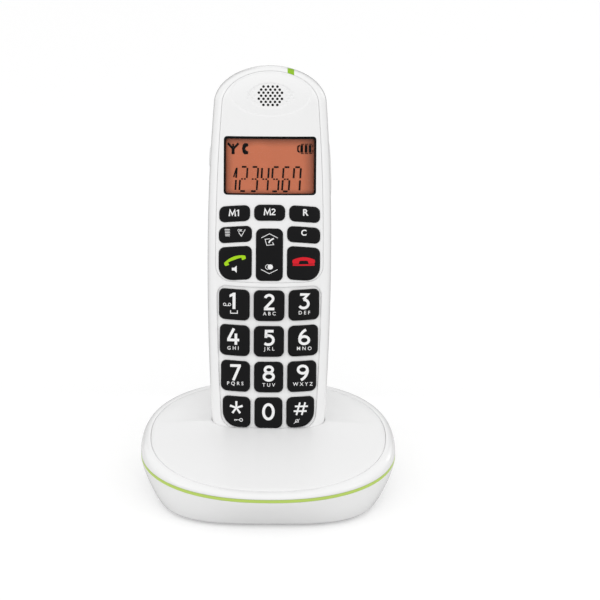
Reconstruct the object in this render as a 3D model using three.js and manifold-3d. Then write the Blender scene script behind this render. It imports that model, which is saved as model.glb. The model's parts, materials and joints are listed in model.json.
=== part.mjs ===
// A cordless telephone: a handset with large keys, standing in its oval charging base.
// Units are millimetres. +Z is up, +X is to the right of the person who reads the keys, and the keys face -Y.
// The handset is drawn in a frame of its own: x across, y along it from its foot, z out of its face, with z = 0
// on the parting line of its two shells. A turned group then stands it in the cradle.
import * as THREE from "three";
import { mergeVertices } from "three/addons/utils/BufferGeometryUtils.js";
import Module from "manifold-3d";

const wasm = await Module();
wasm.setup();

// ---- Handset body ----
const handsetLength = 161.5;
const widestHalf = 25.6; // half the width at its widest
const widestAt = 84;
const footHalf = 22.4; // half the width at the foot
const shoulderHalf = 23.3; // half the width where the round top starts
const crownLength = 15.8; // length of the round top
const faceHeight = 9; // crown of the face above the parting line
const backDepth = 15;
const footBackDepth = 10.6;
const crownBackDepth = 13;
const backDeepestAt = 60;
const footRounding = 4;
const facePower = 3; // how square the face's cross-section is
const backPower = 2.6;
const shellWall = 2.4;
const rearWall = 1.8;
const partingGap = 0.3;
const seatGap = 0.3; // between two fixed pieces that sit against each other
const slideGap = 0.35; // round a piece that moves in an opening

// ---- Fascia, number field and keys ----
const fasciaInset = 3.3; // from the handset's side to the fascia's edge
const fasciaTopInset = 2.4;
const fasciaBottom = 72.2;
const fasciaCorner = 6.5;
const fasciaWall = 1.2;
const ledgeWidth = 1;
const fieldTop = 70.3;
const fieldBottom = 10.9;
const fieldInset = 3.9;
const fieldTopCorner = 3.3;
const fieldBottomCorner = 6.6;
const fieldDepth = 0.5;
const fieldBow = 0.0026; // rows and field edges sag by this times x squared
const functionBow = -0.0015;
const keyGap = 1.95; // between neighbouring keys
const fieldMargin = 0.88; // from the outer keys to the number field's edge
const fasciaMargin = 1.4;
const keyCorner = 2.1;
const outerKeyCorner = 6; // the corner keys' round outer corner
const keyProud = 0.9; // above the face
const keyUnderside = 4.2;
const digitHeight = 12.5;
const digitPitch = 14.87;
const firstDigitRow = 62.75;
const memoryRow = 101.15;
const memoryHeight = 6.35;
const menuRow = 92.5;
const talkRow = 80.55;
const talkHeight = 13.7;
const navigationRow = 83.95;
const navigationHeight = 21.2;
const navigationRib = 0.8; // radius of the rib under the navigation key that it rocks on
const navigationWidth = 10.8;

// ---- Display ----
const windowWidth = 37.7;
const windowHeight = 24.1;
const windowAt = 120.8;
const windowCorner = 1.3;
const lensThickness = 1;
const lcdTop = 4.9;
const lcdThickness = 1.8;
const lcdMargin = 0.9; // the glass reaches this far past the window
const backlightThickness = 1.1;

// ---- Earpiece, loudspeaker and microphone ----
const earAt = handsetLength - 12;
const earRows = [4, 5, 6, 5, 6, 5, 4];
const earPitchAcross = 1.9;
const earPitchAlong = 1.25;
const earHoleRadius = 0.5;
const receiverRadius = 7.5;
const receiverTop = 5.2;
const receiverThickness = 3.2;
const speakerRadius = 10;
const speakerAt = handsetLength - 37.5;
const speakerThickness = 4;
const grilleSlots = 5;
const grillePitch = 3;
const grilleSlotLength = 13;
const grilleSlotWidth = 1.3;
const microphoneRadius = 2.2;
const microphoneLength = 2.4;
const microphoneCentre = 2.9; // above the parting line
const microphoneHoleRadius = 0.6;

// ---- Side buttons and indicator ----
const rockerAt = 118.7;
const rockerLength = 24.9;
const boostAt = 123.7;
const boostLength = 10;
const sideButtonCentre = -3.2;
const sideButtonWidth = 4.2;
const sideButtonProud = 0.75;
const sideButtonDepth = 2.6; // how far it reaches in from the side
const sideButtonTravel = 0.6;
const rockerBoss = 1; // radius of the round boss that the rocker turns on
const pipeAt = 8.2;
const pipeWidth = 3.2;

// ---- Inside the handset ----
const boardTop = 1.5;
const boardThickness = 1.2;
const boardHalf = 18;
const boardFoot = 8;
const boardHead = handsetLength - 21.5;
const matThickness = 1.1;
const matMargin = 1.2;
const screwAcross = 18.4;
const screwAt = handsetLength - 19.5;
const postRadius = 2.4;
const postTop = 4.9;
const screwRadius = 1;
const screwHeadRadius = 1.9;
const screwHeadHeight = 1.4;

// ---- Battery ----
const trayFoot = 33;
const trayFloor = -0.9;
const trayWall = 1;
const cellRoom = 0.8; // round the cells, between the tray and the cover
const cellRadius = (backDepth + trayFloor - trayWall - rearWall - cellRoom) / 2;
const cellLength = 44.5;
const cellSpacing = 2 * cellRadius + 0.7;
const trayHalf = cellSpacing / 2 + cellRadius + 0.75;
const coverLip = 2.4; // how far the cover reaches past the tray, and the shell's lip past the cover
const lipThickness = 1.2;
const springRadius = cellRadius - 2.25;
const springWire = 0.35;
const springTurns = 3;
const springLength = 4.6;
const trayLength = cellLength + springLength + 2.4;
const linkThickness = 0.6;

// ---- Charging pads and pins ----
const padAcross = 8;
const padCentre = -3;
const padWidth = 5;
const padHeight = 3.6;
const padThickness = 0.9;
const pinRadius = 1.2;
const pinTop = -0.15;
const pinLength = 3.1;

// ---- Base ----
const baseHalfWidth = 52.7;
const baseHalfDepth = 46;
const basePower = 2.2; // how square the outline is at the trim ring
const soleHalfWidth = 45;
const soleHalfDepth = 41.5;
const solePower = 3.4;
const footHeight = 0.8; // how far the feet hold the base off the table
const trimBottom = 13.5;
const trimThickness = 1;
const trimWidth = 3;
const trimGap = 0.2;
const rimInset = 4; // from the trim ring to the deck's edge
const deckFront = 2.1; // height of the deck's edge above the trim, at the front
const deckBack = 10.8;
const deckCrown = 2.3; // how far the deck's middle stands above its edge
const baseWall = 2;
const baseFloor = 2;
const deckWall = 1.5;
const deckLedge = 2;
const ledgeThickness = 1.2;
const cradleWall = 1.6;
const cradleGap = 0.6;
const handsetLean = 18; // degrees back from upright
const handsetFootY = 6.7;
const handsetFootZ = 9.6;

// ---- Inside the base ----
const baseBoardBottom = 3.1;
const baseBoardThickness = 1.2;
const baseBoardInset = 5;
const baseBoardBack = 27.9;
const baseScrewX = 34;
const baseScrewY = -9;
const basePostRadius = 3;
const basePostFoot = 6.2;
const baseScrewHeadRadius = 2.6;
const baseScrewHeadHeight = 1.8;
const baseScrewRadius = 1.3;
const rubberRadius = 5;
const rubberThickness = 1.4;
const rubberX = 30;
const rubberY = 24;

// ---- Sockets and page button at the back of the base ----
const socketFront = 29.8; // inner end of both sockets
const socketFace = 41.5;
const socketBottom = 3.3;
const socketTop = 12.7;
const lineSocketX = -14;
const lineSocketWidth = 12;
const linePortWidth = 9.8;
const linePortHeight = 6.6;
const linePortDepth = 10.4;
const latchWidth = 3.4;
const latchHeight = 1;
const powerSocketX = 14;
const powerSocketWidth = 9.4;
const powerPortRadius = 3.1;
const powerPinRadius = 1;
const pageRadius = 4;
const pageZ = 8.6;
const pageProud = 0.7;
const pageLength = 6.5;

const farOut = 200; // larger than the whole object

// ---- Materials ----
const finish = (color, roughness, metalness = 0) =>
  new THREE.MeshStandardMaterial({ color, roughness, metalness });
const white = finish(0xf2f2f2, 0.3);
const black = finish(0x222222, 0.55);
const green = finish(0xb9e070, 0.35);
const indicatorGreen = finish(0x8dc21f, 0.3);
const amber = finish(0xc46a48, 0.4);
const clear = finish(0x332a26, 0.08);
const board = finish(0x2f6b3c, 0.6);
const silicone = finish(0x9a9a9a, 0.8);
const darkPlastic = finish(0x2b2b2d, 0.5);
const steel = finish(0xb8b8b8, 0.35, 1);
const gold = finish(0xd8b45a, 0.3, 1);
const cellWrap = finish(0x3d6fa8, 0.4);
const rubber = finish(0x6e6e6e, 0.9);

// ---- Solids ----
// A manifold-3d solid from a three.js geometry, with its shared vertices merged.
function solid(geometry) {
  const bare = new THREE.BufferGeometry();
  bare.setAttribute("position", geometry.getAttribute("position"));
  bare.setIndex(geometry.getIndex());
  const merged = mergeVertices(bare, 1e-4);
  const mesh = new wasm.Mesh({
    numProp: 3,
    vertProperties: merged.attributes.position.array,
    triVerts: new Uint32Array(merged.index.array),
  });
  return new wasm.Manifold(mesh);
}

function geometryOf(made) {
  const mesh = made.getMesh();
  const geometry = new THREE.BufferGeometry();
  geometry.setAttribute("position", new THREE.BufferAttribute(mesh.vertProperties, 3));
  geometry.setIndex(new THREE.BufferAttribute(mesh.triVerts, 1));
  geometry.computeVertexNormals();
  return geometry;
}

const joined = (...solids) => solids.reduce((all, next) => all.add(next));
const without = (whole, ...cutters) => cutters.reduce((left, next) => left.subtract(next), whole);

// A box between two corners.
function block(x0, x1, y0, y1, z0, z1) {
  const geometry = new THREE.BoxGeometry(x1 - x0, y1 - y0, z1 - z0);
  return solid(geometry.translate((x0 + x1) / 2, (y0 + y1) / 2, (z0 + z1) / 2));
}

// An outline of points extruded from z0 to z1.
function prism(points, z0, z1) {
  const settings = { depth: z1 - z0, bevelEnabled: false, curveSegments: 1 };
  const geometry = new THREE.ExtrudeGeometry(new THREE.Shape(points), settings);
  return solid(geometry.translate(0, 0, z0));
}

// A round bar along z.
function bar(radius, x, y, z0, z1, sides = 20) {
  const geometry = new THREE.CylinderGeometry(radius, radius, z1 - z0, sides);
  return solid(geometry.rotateX(Math.PI / 2).translate(x, y, (z0 + z1) / 2));
}

// A round bar along y.
function crossBar(radius, x, z, y0, y1, sides = 20) {
  const geometry = new THREE.CylinderGeometry(radius, radius, y1 - y0, sides);
  return solid(geometry.translate(x, (y0 + y1) / 2, z));
}

// A round bar along x, centred on x = 0.
function axle(radius, y, z, length, sides = 16) {
  const geometry = new THREE.CylinderGeometry(radius, radius, length, sides);
  return solid(geometry.rotateZ(Math.PI / 2).translate(0, y, z));
}

// A turned piece from half its profile, given as pairs of radius and height along z.
function turned(profile, x, y, sides = 16) {
  const geometry = new THREE.LatheGeometry(profile.map(([r, h]) => new THREE.Vector2(r, h)), sides);
  return solid(geometry.rotateX(Math.PI / 2).translate(x, y, 0));
}

// A closed skin of rings: place gives the point at an angle round ring t, and the caps' middles have radius 0.
function rings(around, along, place) {
  const geometry = new THREE.CylinderGeometry(1, 1, 1, around, along);
  const position = geometry.attributes.position;
  for (let i = 0; i < position.count; i++) {
    const angle = Math.atan2(position.getZ(i), position.getX(i));
    const radius = Math.min(1, Math.hypot(position.getX(i), position.getZ(i)));
    const point = place(angle, position.getY(i) + 0.5, radius);
    position.setXYZ(i, point[0], point[1], point[2]);
  }
  return solid(geometry);
}

// The unit superellipse at an angle: a circle for power 2, and squarer above that.
function superellipse(angle, power) {
  const bend = (value) => Math.sign(value) * Math.abs(value) ** (2 / power);
  return [bend(Math.cos(angle)), bend(Math.sin(angle))];
}

// A rounded rectangle's corners as points; radii go round from lower right, anticlockwise.
function roundedBox(x, y, width, height, radii, steps = 3) {
  const signs = [[1, -1], [1, 1], [-1, 1], [-1, -1]];
  return signs.flatMap(([sx, sy], corner) => {
    const radius = radii[corner];
    const cx = x + sx * (width / 2 - radius);
    const cy = y + sy * (height / 2 - radius);
    return Array.from({ length: steps + 1 }, (_, i) => {
      const angle = ((corner - 1 + i / steps) * Math.PI) / 2;
      return new THREE.Vector2(cx + radius * Math.cos(angle), cy + radius * Math.sin(angle));
    });
  });
}

// ---- Handset skin ----
const shoulderAt = handsetLength - crownLength;

// Half the width of the handset's side line, before its ends are rounded.
function sideAt(y) {
  const end = y < widestAt ? footHalf : shoulderHalf;
  const span = y < widestAt ? widestAt : shoulderAt - widestAt;
  return widestHalf - (widestHalf - end) * Math.min(1, Math.abs(y - widestAt) / span) ** 2;
}

function backAt(y) {
  const below = y < backDeepestAt;
  const end = below ? footBackDepth : crownBackDepth;
  const share = Math.abs(y - backDeepestAt) / (below ? backDeepestAt : handsetLength - backDeepestAt);
  return backDepth - (backDepth - end) * Math.min(1, share) ** (below ? 3 : 2);
}

// The handset's outer skin, moved out by grow, or in where it is negative.
function handsetSkin(grow, around = 24, along = 15) {
  const closeAt = 0.145; // the crown ends in a small flat instead of a point
  return rings(around, along, (angle, t, radius) => {
    const y = -grow + (handsetLength + 2 * grow) * (1 - Math.cos(Math.PI * t)) * 0.5;
    const up = Math.max(0, y - shoulderAt) / (crownLength + grow);
    const wide = Math.max(closeAt, Math.sqrt(Math.max(0, 1 - up ** 2)));
    const thick = Math.max(2 * closeAt, Math.cbrt(Math.max(0, 1 - up ** 3)));
    const fromFoot = Math.min(footRounding, Math.max(0, y + grow));
    const inset = footRounding - Math.sqrt(footRounding ** 2 - (footRounding - fromFoot) ** 2);
    const front = Math.sin(angle) >= 0;
    const [c, s] = superellipse(angle, front ? facePower : backPower);
    const halfWidth = (sideAt(y) + grow) * wide - inset;
    const depth = ((front ? faceHeight : backAt(y)) + grow) * thick - inset * (front ? 0.5 : 1);
    return [c * halfWidth * radius, y, s * depth * radius];
  });
}

// Mirrors the right half of an outline, listed from the bottom up, to give the whole one.
function mirrored(right) {
  const left = right.map((p) => new THREE.Vector2(-p.x, p.y)).reverse();
  return [...right, ...left];
}

// Points along the handset's side, in from it by inset.
function sidePoints(inset, from, to, count) {
  return Array.from({ length: count }, (_, i) => {
    const y = from + ((to - from) * i) / (count - 1);
    return new THREE.Vector2(sideAt(y) - inset, y);
  });
}

function arcPoints(x, y, radius, from, to, count) {
  return Array.from({ length: count }, (_, i) => {
    const angle = from + ((to - from) * i) / (count - 1);
    return new THREE.Vector2(x + radius * Math.cos(angle), y + radius * Math.sin(angle));
  });
}

const bowed = (points, bow) => points.map((p) => new THREE.Vector2(p.x, p.y + bow * p.x ** 2));

// The fascia covers the upper face, with a round top and round lower corners.
function fasciaOutline(grow) {
  const low = fasciaBottom - grow;
  const radius = fasciaCorner + grow;
  const inset = fasciaInset - grow;
  const corner = arcPoints(sideAt(low) - inset - radius, low + radius, radius, -Math.PI / 2, -0.3, 4);
  const bottom = bowed([new THREE.Vector2(6, low), ...corner], fieldBow);
  const side = sidePoints(inset, low + radius + 3, shoulderAt, 6);
  const rise = crownLength - fasciaTopInset + grow;
  const top = Array.from({ length: 7 }, (_, i) => {
    const angle = ((i + 1) * Math.PI) / 15;
    return new THREE.Vector2((sideAt(shoulderAt) - inset) * Math.cos(angle), shoulderAt + rise * Math.sin(angle));
  });
  return mirrored([...bottom, ...side, ...top]);
}

// The shallow field round the twelve number keys.
function fieldOutline(grow) {
  const inset = fieldInset - grow;
  const low = fieldBottom - grow;
  const high = fieldTop + grow;
  const lower = fieldBottomCorner + grow;
  const upper = fieldTopCorner + grow;
  const lowX = sideAt(low + lower) - inset - lower;
  const highX = sideAt(high - upper) - inset - upper;
  const foot = bowed([new THREE.Vector2(4, low), ...arcPoints(lowX, low + lower, lower, -Math.PI / 2, -0.2, 4)], fieldBow);
  const head = bowed([...arcPoints(highX, high - upper, upper, 0, Math.PI / 2, 4), new THREE.Vector2(6, high)], fieldBow);
  return mirrored([...foot, ...sidePoints(inset, low + lower + 3, high - upper - 1, 4), ...head]);
}

// ---- Keys ----
// A row of three: the outer two fill what the middle one and the gaps leave of the field's width.
function row(names, y, height, half, margin, bow, middleWidth) {
  const free = 2 * (half - margin) - 2 * keyGap;
  const middle = middleWidth ?? free / 3;
  const outer = (free - middle) / 2;
  const x = middle / 2 + keyGap + outer / 2;
  return [
    { name: names[0], x: -x, y, width: outer, height, bow },
    { name: names[1], x: 0, y, width: middle, height, bow },
    { name: names[2], x, y, width: outer, height, bow },
  ];
}

function allKeys() {
  const fascia = (y) => sideAt(y) - fasciaInset;
  const upper = (names, y, height, middle) => row(names, y, height, fascia(y), fasciaMargin, functionBow, middle);
  const memory = upper(["key_m1", "key_m2", "key_recall"], memoryRow, memoryHeight);
  const menu = upper(["key_menu", "", "key_clear"], menuRow, memoryHeight, navigationWidth);
  const talk = upper(["key_talk", "key_navigation", "key_end"], talkRow, talkHeight, navigationWidth);
  talk[1].y = navigationRow;
  talk[1].height = navigationHeight;
  const digits = [["1", "2", "3"], ["4", "5", "6"], ["7", "8", "9"], ["star", "0", "hash"]].map((names, i) => {
    const y = firstDigitRow - i * digitPitch;
    return row(names.map((n) => "key_" + n), y, digitHeight, sideAt(y) - fieldInset, fieldMargin, fieldBow);
  });
  return [...memory, menu[0], menu[2], ...talk, ...digits.flat()];
}

function keyOutline(key, grow) {
  const small = keyCorner + grow;
  const large = outerKeyCorner + grow;
  const roundLeft = ["key_talk", "key_star"].includes(key.name);
  const roundRight = ["key_end", "key_hash"].includes(key.name);
  const radii = [roundRight ? large : small, small, small, roundLeft ? large : small];
  const points = roundedBox(key.x, key.y, key.width + 2 * grow, key.height + 2 * grow, radii);
  return bowed(points, key.bow);
}

const keys = allKeys();
const openings = (chosen, grow) => chosen.map((key) => prism(keyOutline(key, grow), -1, farOut));
const fasciaKeys = keys.filter((key) => key.y > fasciaBottom);
const fieldKeys = keys.filter((key) => key.y <= fasciaBottom);

// ---- Handset pieces ----
const outer = handsetSkin(0);
const frontHalf = block(-farOut, farOut, -farOut, 2 * farOut, partingGap / 2, farOut);
const rearHalf = block(-farOut, farOut, -farOut, 2 * farOut, -farOut, -partingGap / 2);
const windowOutline = (grow) =>
  roundedBox(0, windowAt, windowWidth + 2 * grow, windowHeight + 2 * grow, Array(4).fill(windowCorner + grow));

// A screw post at each side of the handset's head; the screws come in from the back.
const screwSpots = [-screwAcross, screwAcross];
const posts = (radius, z0, z1) => joined(...screwSpots.map((x) => bar(radius, x, screwAt, z0, z1, 12)));

function sideButtonBlock(side, at, length, grow, inward = 0) {
  const reach = widestHalf + sideButtonProud + 5;
  const inner = sideAt(at) - sideButtonDepth - inward;
  const halfWidth = sideButtonWidth / 2 + grow;
  const x0 = side > 0 ? inner : -reach;
  const x1 = side > 0 ? reach : -inner;
  const y0 = at - length / 2 - grow;
  const y1 = at + length / 2 + grow;
  return block(x0, x1, y0, y1, sideButtonCentre - halfWidth, sideButtonCentre + halfWidth);
}

const pipeBlock = (grow) =>
  block(pipeAt - pipeWidth / 2 - grow, pipeAt + pipeWidth / 2 + grow, shoulderAt + 4, farOut, partingGap, farOut);

function earHoles() {
  const middle = (earRows.length - 1) / 2;
  const holes = earRows.flatMap((count, i) =>
    Array.from({ length: count }, (_, j) =>
      bar(earHoleRadius, (j - (count - 1) / 2) * earPitchAcross, earAt + (middle - i) * earPitchAlong, 3, farOut, 6)));
  return joined(...holes);
}

function padBlocks(grow) {
  return [-padAcross, padAcross].map((x) =>
    block(x - padWidth / 2 - grow, x + padWidth / 2 + grow, grow > 0 ? -5 : 0.15, padThickness + grow,
      padCentre - padHeight / 2 - grow, padCentre + padHeight / 2 + grow));
}

function frontShell() {
  const hollow = handsetSkin(-shellWall);
  const seat = handsetSkin(-fasciaWall - seatGap);
  const shell = outer.subtract(hollow).add(posts(postRadius, partingGap / 2, postTop));
  const recess = prism(fasciaOutline(seatGap), 0, farOut).subtract(seat);
  const opening = prism(fasciaOutline(-ledgeWidth), 0, farOut).subtract(posts(postRadius, -1, postTop));
  const field = prism(fieldOutline(0), 0, farOut).subtract(handsetSkin(-fieldDepth));
  const pilots = posts(screwRadius * 0.9, -1, postTop - 1);
  const microphoneHole = crossBar(microphoneHoleRadius, 0, microphoneCentre, -5, shellWall + 1, 8);
  return without(shell.intersect(frontHalf), recess, opening, field, pilots, microphoneHole,
    pipeBlock(seatGap), ...openings(keys, slideGap));
}

function fascia() {
  const plate = outer.intersect(prism(fasciaOutline(0), 1, farOut)).subtract(handsetSkin(-fasciaWall));
  return without(plate, prism(windowOutline(0), 0, farOut), earHoles(), ...openings(fasciaKeys, slideGap));
}

function lens() {
  return outer.intersect(prism(windowOutline(-seatGap), 1, farOut)).subtract(handsetSkin(-lensThickness));
}

function lightPipe() {
  const band = outer.intersect(pipeBlock(0)).subtract(handsetSkin(-shellWall));
  return band.subtract(prism(fasciaOutline(2 * seatGap), 0, farOut));
}

function keyCap(key) {
  const cap = handsetSkin(keyProud).intersect(prism(keyOutline(key, 0), keyUnderside, farOut));
  if (key.name !== "key_navigation") return cap;
  return cap.add(axle(navigationRib, key.y, keyUnderside, key.width - 4));
}

// The battery tray hangs from the rear shell, and the cover closes it from behind.
const trayHead = trayFoot + trayLength;
const coverOutline = (grow) => {
  const width = 2 * (trayHalf + coverLip + grow);
  const length = trayLength + 2 * (coverLip + grow);
  return roundedBox(0, (trayFoot + trayHead) / 2, width, length, Array(4).fill(3 + grow));
};

function grille() {
  const start = speakerAt - ((grilleSlots - 1) * grillePitch) / 2;
  const slots = Array.from({ length: grilleSlots }, (_, i) =>
    roundedBox(0, start + i * grillePitch, grilleSlotLength, grilleSlotWidth, Array(4).fill(0.6), 2));
  return joined(...slots.map((points) => prism(points, -farOut, -6)));
}

function rearShell() {
  const hollow = handsetSkin(-rearWall);
  const trayOut = block(-trayHalf - trayWall, trayHalf + trayWall, trayFoot - trayWall, trayHead + trayWall,
    -farOut, trayFloor).intersect(hollow);
  const trayIn = block(-trayHalf, trayHalf, trayFoot, trayHead, -farOut, trayFloor - trayWall);
  const tube = posts(postRadius, -farOut, -partingGap / 2).intersect(outer);
  const lip = prism(coverOutline(coverLip), -farOut, -1).intersect(handsetSkin(-rearWall / 2))
    .subtract(handsetSkin(-rearWall - seatGap - lipThickness));
  const shell = joined(outer.subtract(hollow).intersect(rearHalf), trayOut, lip, tube);
  const coverSeat = prism(coverOutline(seatGap), -farOut, 0).subtract(handsetSkin(-rearWall - seatGap));
  const bore = posts(screwRadius + 0.2, -farOut, 1);
  const counterbore = posts(screwHeadRadius + seatGap, -farOut, -4);
  return without(shell, trayIn, coverSeat, grille(), bore, counterbore, ...padBlocks(seatGap / 2),
    sideButtonBlock(1, rockerAt, rockerLength, slideGap, sideButtonTravel + rockerBoss + slideGap),
    sideButtonBlock(-1, boostAt, boostLength, slideGap, sideButtonTravel + slideGap));
}

function batteryCover() {
  return outer.intersect(prism(coverOutline(0), -farOut, -1)).subtract(handsetSkin(-rearWall));
}

const cellZ = trayFloor - trayWall - seatGap - cellRadius;

function cell(x) {
  const foot = trayHead - linkThickness - seatGap - 0.4 - cellLength;
  const profile = [[0, 0], [cellRadius, 0], [cellRadius, cellLength - 1], [2, cellLength - 1], [2, cellLength], [0, cellLength]];
  const geometry = new THREE.LatheGeometry(profile.map(([r, h]) => new THREE.Vector2(r, h)), 20);
  return solid(geometry.translate(x, foot, cellZ));
}

class Helix extends THREE.Curve {
  getPoint(t, target = new THREE.Vector3()) {
    const angle = t * springTurns * 2 * Math.PI;
    return target.set(springRadius * Math.cos(angle), t * springLength, springRadius * Math.sin(angle));
  }
}

function spring(x) {
  const wire = new THREE.Shape(arcPoints(0, 0, springWire, 0, 2 * Math.PI, 6).slice(0, 5));
  const geometry = new THREE.ExtrudeGeometry(wire, { steps: 12 * springTurns, extrudePath: new Helix() });
  return solid(geometry.translate(x, trayFoot + 2 * springWire, cellZ));
}

function linkPlate() {
  const y = trayHead - seatGap;
  return block(-trayHalf + 0.6, trayHalf - 0.6, y - linkThickness, y, cellZ - cellRadius + 1.25, cellZ + cellRadius - 1.25);
}

function handsetBoard() {
  const plate = block(-boardHalf, boardHalf, boardFoot, boardHead, boardTop - boardThickness, boardTop);
  return plate.subtract(posts(postRadius + seatGap, -5, 5));
}

function keypadMat() {
  const bottom = boardTop + seatGap;
  const half = Math.min(...keys.map((key) => sideAt(key.y))) - shellWall - matMargin;
  const foot = fieldKeys.at(-1).y - digitHeight / 2;
  return block(-half, half, foot, memoryRow + memoryHeight / 2, bottom, bottom + matThickness);
}

function lcdGlass() {
  const halfWidth = windowWidth / 2 + lcdMargin;
  const halfHeight = windowHeight / 2 + lcdMargin;
  return block(-halfWidth, halfWidth, windowAt - halfHeight, windowAt + halfHeight, lcdTop - lcdThickness, lcdTop);
}

function backlight() {
  const halfWidth = windowWidth / 2;
  const top = lcdTop - lcdThickness - 0.2;
  const halfHeight = windowHeight / 2 + lcdMargin;
  return block(-halfWidth, halfWidth, windowAt - halfHeight, windowAt + halfHeight, top - backlightThickness, top);
}

function screw(x) {
  const head = -backAt(screwAt) * 0.4;
  const profile = [[0, head - screwHeadHeight], [screwHeadRadius, head - screwHeadHeight], [screwHeadRadius, head],
    [screwRadius * 0.8, head], [screwRadius * 0.8, postTop - 1.6], [0, postTop - 1.2]];
  return turned(profile, x, screwAt, 12);
}

// ---- Base skin ----
const trimTop = trimBottom + trimThickness;

// The plan outline of the base at a height below the trim: squarer and smaller towards its sole.
function lowerOutline(z) {
  const share = Math.min(1, Math.max(0, (z - footHeight) / (trimBottom - footHeight)));
  const narrow = (1 - share) ** 1.5;
  const sole = Math.min(1.2, z - footHeight + 0.01);
  const round = 1.2 - Math.sqrt(1.44 - (1.2 - sole) ** 2);
  return {
    halfWidth: baseHalfWidth - (baseHalfWidth - soleHalfWidth) * narrow - round,
    halfDepth: baseHalfDepth - (baseHalfDepth - soleHalfDepth) * narrow - round,
    power: basePower + (solePower - basePower) * narrow,
  };
}

function outlinePoint(shape, angle, scale = 1) {
  const [c, s] = superellipse(angle, shape.power);
  return [c * shape.halfWidth * scale, s * shape.halfDepth * scale];
}

function lowerSkin(inset, bottom, top) {
  return rings(36, 5, (angle, t, radius) => {
    const z = bottom + (top - bottom) * t ** 1.6;
    const shape = lowerOutline(z);
    shape.halfWidth -= inset;
    shape.halfDepth -= inset;
    const [x, y] = outlinePoint(shape, angle, radius);
    return [x, -y, z];
  });
}

// The plan outline of the deck, as points.
function deckOutline(grow, count = 36) {
  const shape = { halfWidth: baseHalfWidth - rimInset + grow, halfDepth: baseHalfDepth - rimInset + grow, power: basePower };
  return Array.from({ length: count }, (_, i) => new THREE.Vector2(...outlinePoint(shape, (i * 2 * Math.PI) / count)));
}

function trimOutline(grow, count = 36) {
  const shape = { halfWidth: baseHalfWidth + grow, halfDepth: baseHalfDepth + grow, power: basePower };
  return Array.from({ length: count }, (_, i) => new THREE.Vector2(...outlinePoint(shape, (i * 2 * Math.PI) / count)));
}

// Height of the deck's edge above the trim: it rises towards the back.
const deckEdge = (y) => (deckFront + deckBack) / 2 + ((deckBack - deckFront) / 2) * (y / (baseHalfDepth - rimInset));

// The base's upper skin, from the trim over the rim to the middle of the deck, lowered by drop.
function upperSkin(drop) {
  const rimShare = 0.4; // the part of the rings that the rim takes
  return rings(36, 9, (angle, t, radius) => {
    const onRim = Math.min(1, t / rimShare);
    const inward = Math.max(0, (t - rimShare) / (1 - rimShare));
    const turn = (onRim * Math.PI) / 2;
    const inset = rimInset * (1 - Math.cos(turn)) + Math.min(drop, rimInset * 0.6) * (1 - onRim);
    const scale = (1 - 0.96 * inward) * radius;
    const shape = { halfWidth: baseHalfWidth - inset, halfDepth: baseHalfDepth - inset, power: basePower };
    const [x, flipped] = outlinePoint(shape, angle, scale);
    const y = -flipped;
    const rim = trimTop + trimGap + (deckEdge(y) - drop) * Math.sin(turn);
    return [x, y, t === 0 ? trimTop + trimGap : rim + deckCrown * (1 - (1 - inward) ** 2)];
  });
}

// ---- Where the handset stands ----
const docked = new THREE.Group();
docked.rotation.x = Math.PI / 2 - THREE.MathUtils.degToRad(handsetLean);
docked.position.set(0, handsetFootY, handsetFootZ);
docked.updateMatrixWorld(true);

// A solid in the handset's frame, moved to where it is when docked.
const atDock = (made) => solid(geometryOf(made).applyMatrix4(docked.matrixWorld));

// ---- Base pieces ----
const baseScrews = [-baseScrewX, baseScrewX];
const basePosts = (radius, z0, z1, sides = 16) =>
  joined(...baseScrews.map((x) => bar(radius, x, baseScrewY, z0, z1, sides)));
const rubberSpots = [[-rubberX, -rubberY], [rubberX, -rubberY], [-rubberX, rubberY], [rubberX, rubberY]];

function pageBar(grow, y0, y1) {
  return crossBar(pageRadius + grow, 0, pageZ, y0, y1, 20);
}

const socketBlock = (x, width, grow, y0, y1) =>
  block(x - width / 2 - grow, x + width / 2 + grow, y0, y1, socketBottom - grow, socketTop + grow);

function lowerShell() {
  const shell = lowerSkin(0, footHeight, trimBottom - trimGap)
    .subtract(lowerSkin(baseWall, footHeight + baseFloor, farOut / 10));
  const bosses = basePosts(basePostRadius + 1, footHeight + 0.2, basePostFoot - seatGap);
  const rubberSeats = rubberSpots.map(([x, y]) =>
    bar(rubberRadius + 0.2, x, y, -1, rubberThickness + 0.2, 20));
  const bores = basePosts(baseScrewRadius + 0.3, -1, farOut);
  const heads = basePosts(baseScrewHeadRadius + 0.3, -1, footHeight + 2.4);
  return without(shell.add(bosses), bores, heads, ...rubberSeats,
    socketBlock(lineSocketX, lineSocketWidth, seatGap, socketFront, farOut),
    socketBlock(powerSocketX, powerSocketWidth, seatGap, socketFront, farOut),
    pageBar(slideGap, 30, farOut));
}

function trimRing() {
  const ring = prism(trimOutline(0), trimBottom, trimTop);
  return ring.subtract(prism(trimOutline(-trimWidth), 0, farOut));
}

function upperShell() {
  const rim = upperSkin(0).subtract(upperSkin(baseWall));
  const band = upperSkin(0.5).subtract(upperSkin(deckWall + seatGap + ledgeThickness));
  const ledge = band.intersect(prism(deckOutline(1.4), 0, farOut)).subtract(prism(deckOutline(-deckLedge), 0, farOut));
  const seat = prism(deckOutline(seatGap), 0, farOut).subtract(upperSkin(deckWall + seatGap));
  const inside = prism(deckOutline(-deckLedge), 0, farOut);
  return without(rim.add(ledge), seat, inside, basePosts(basePostRadius + seatGap, 0, farOut));
}

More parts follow.
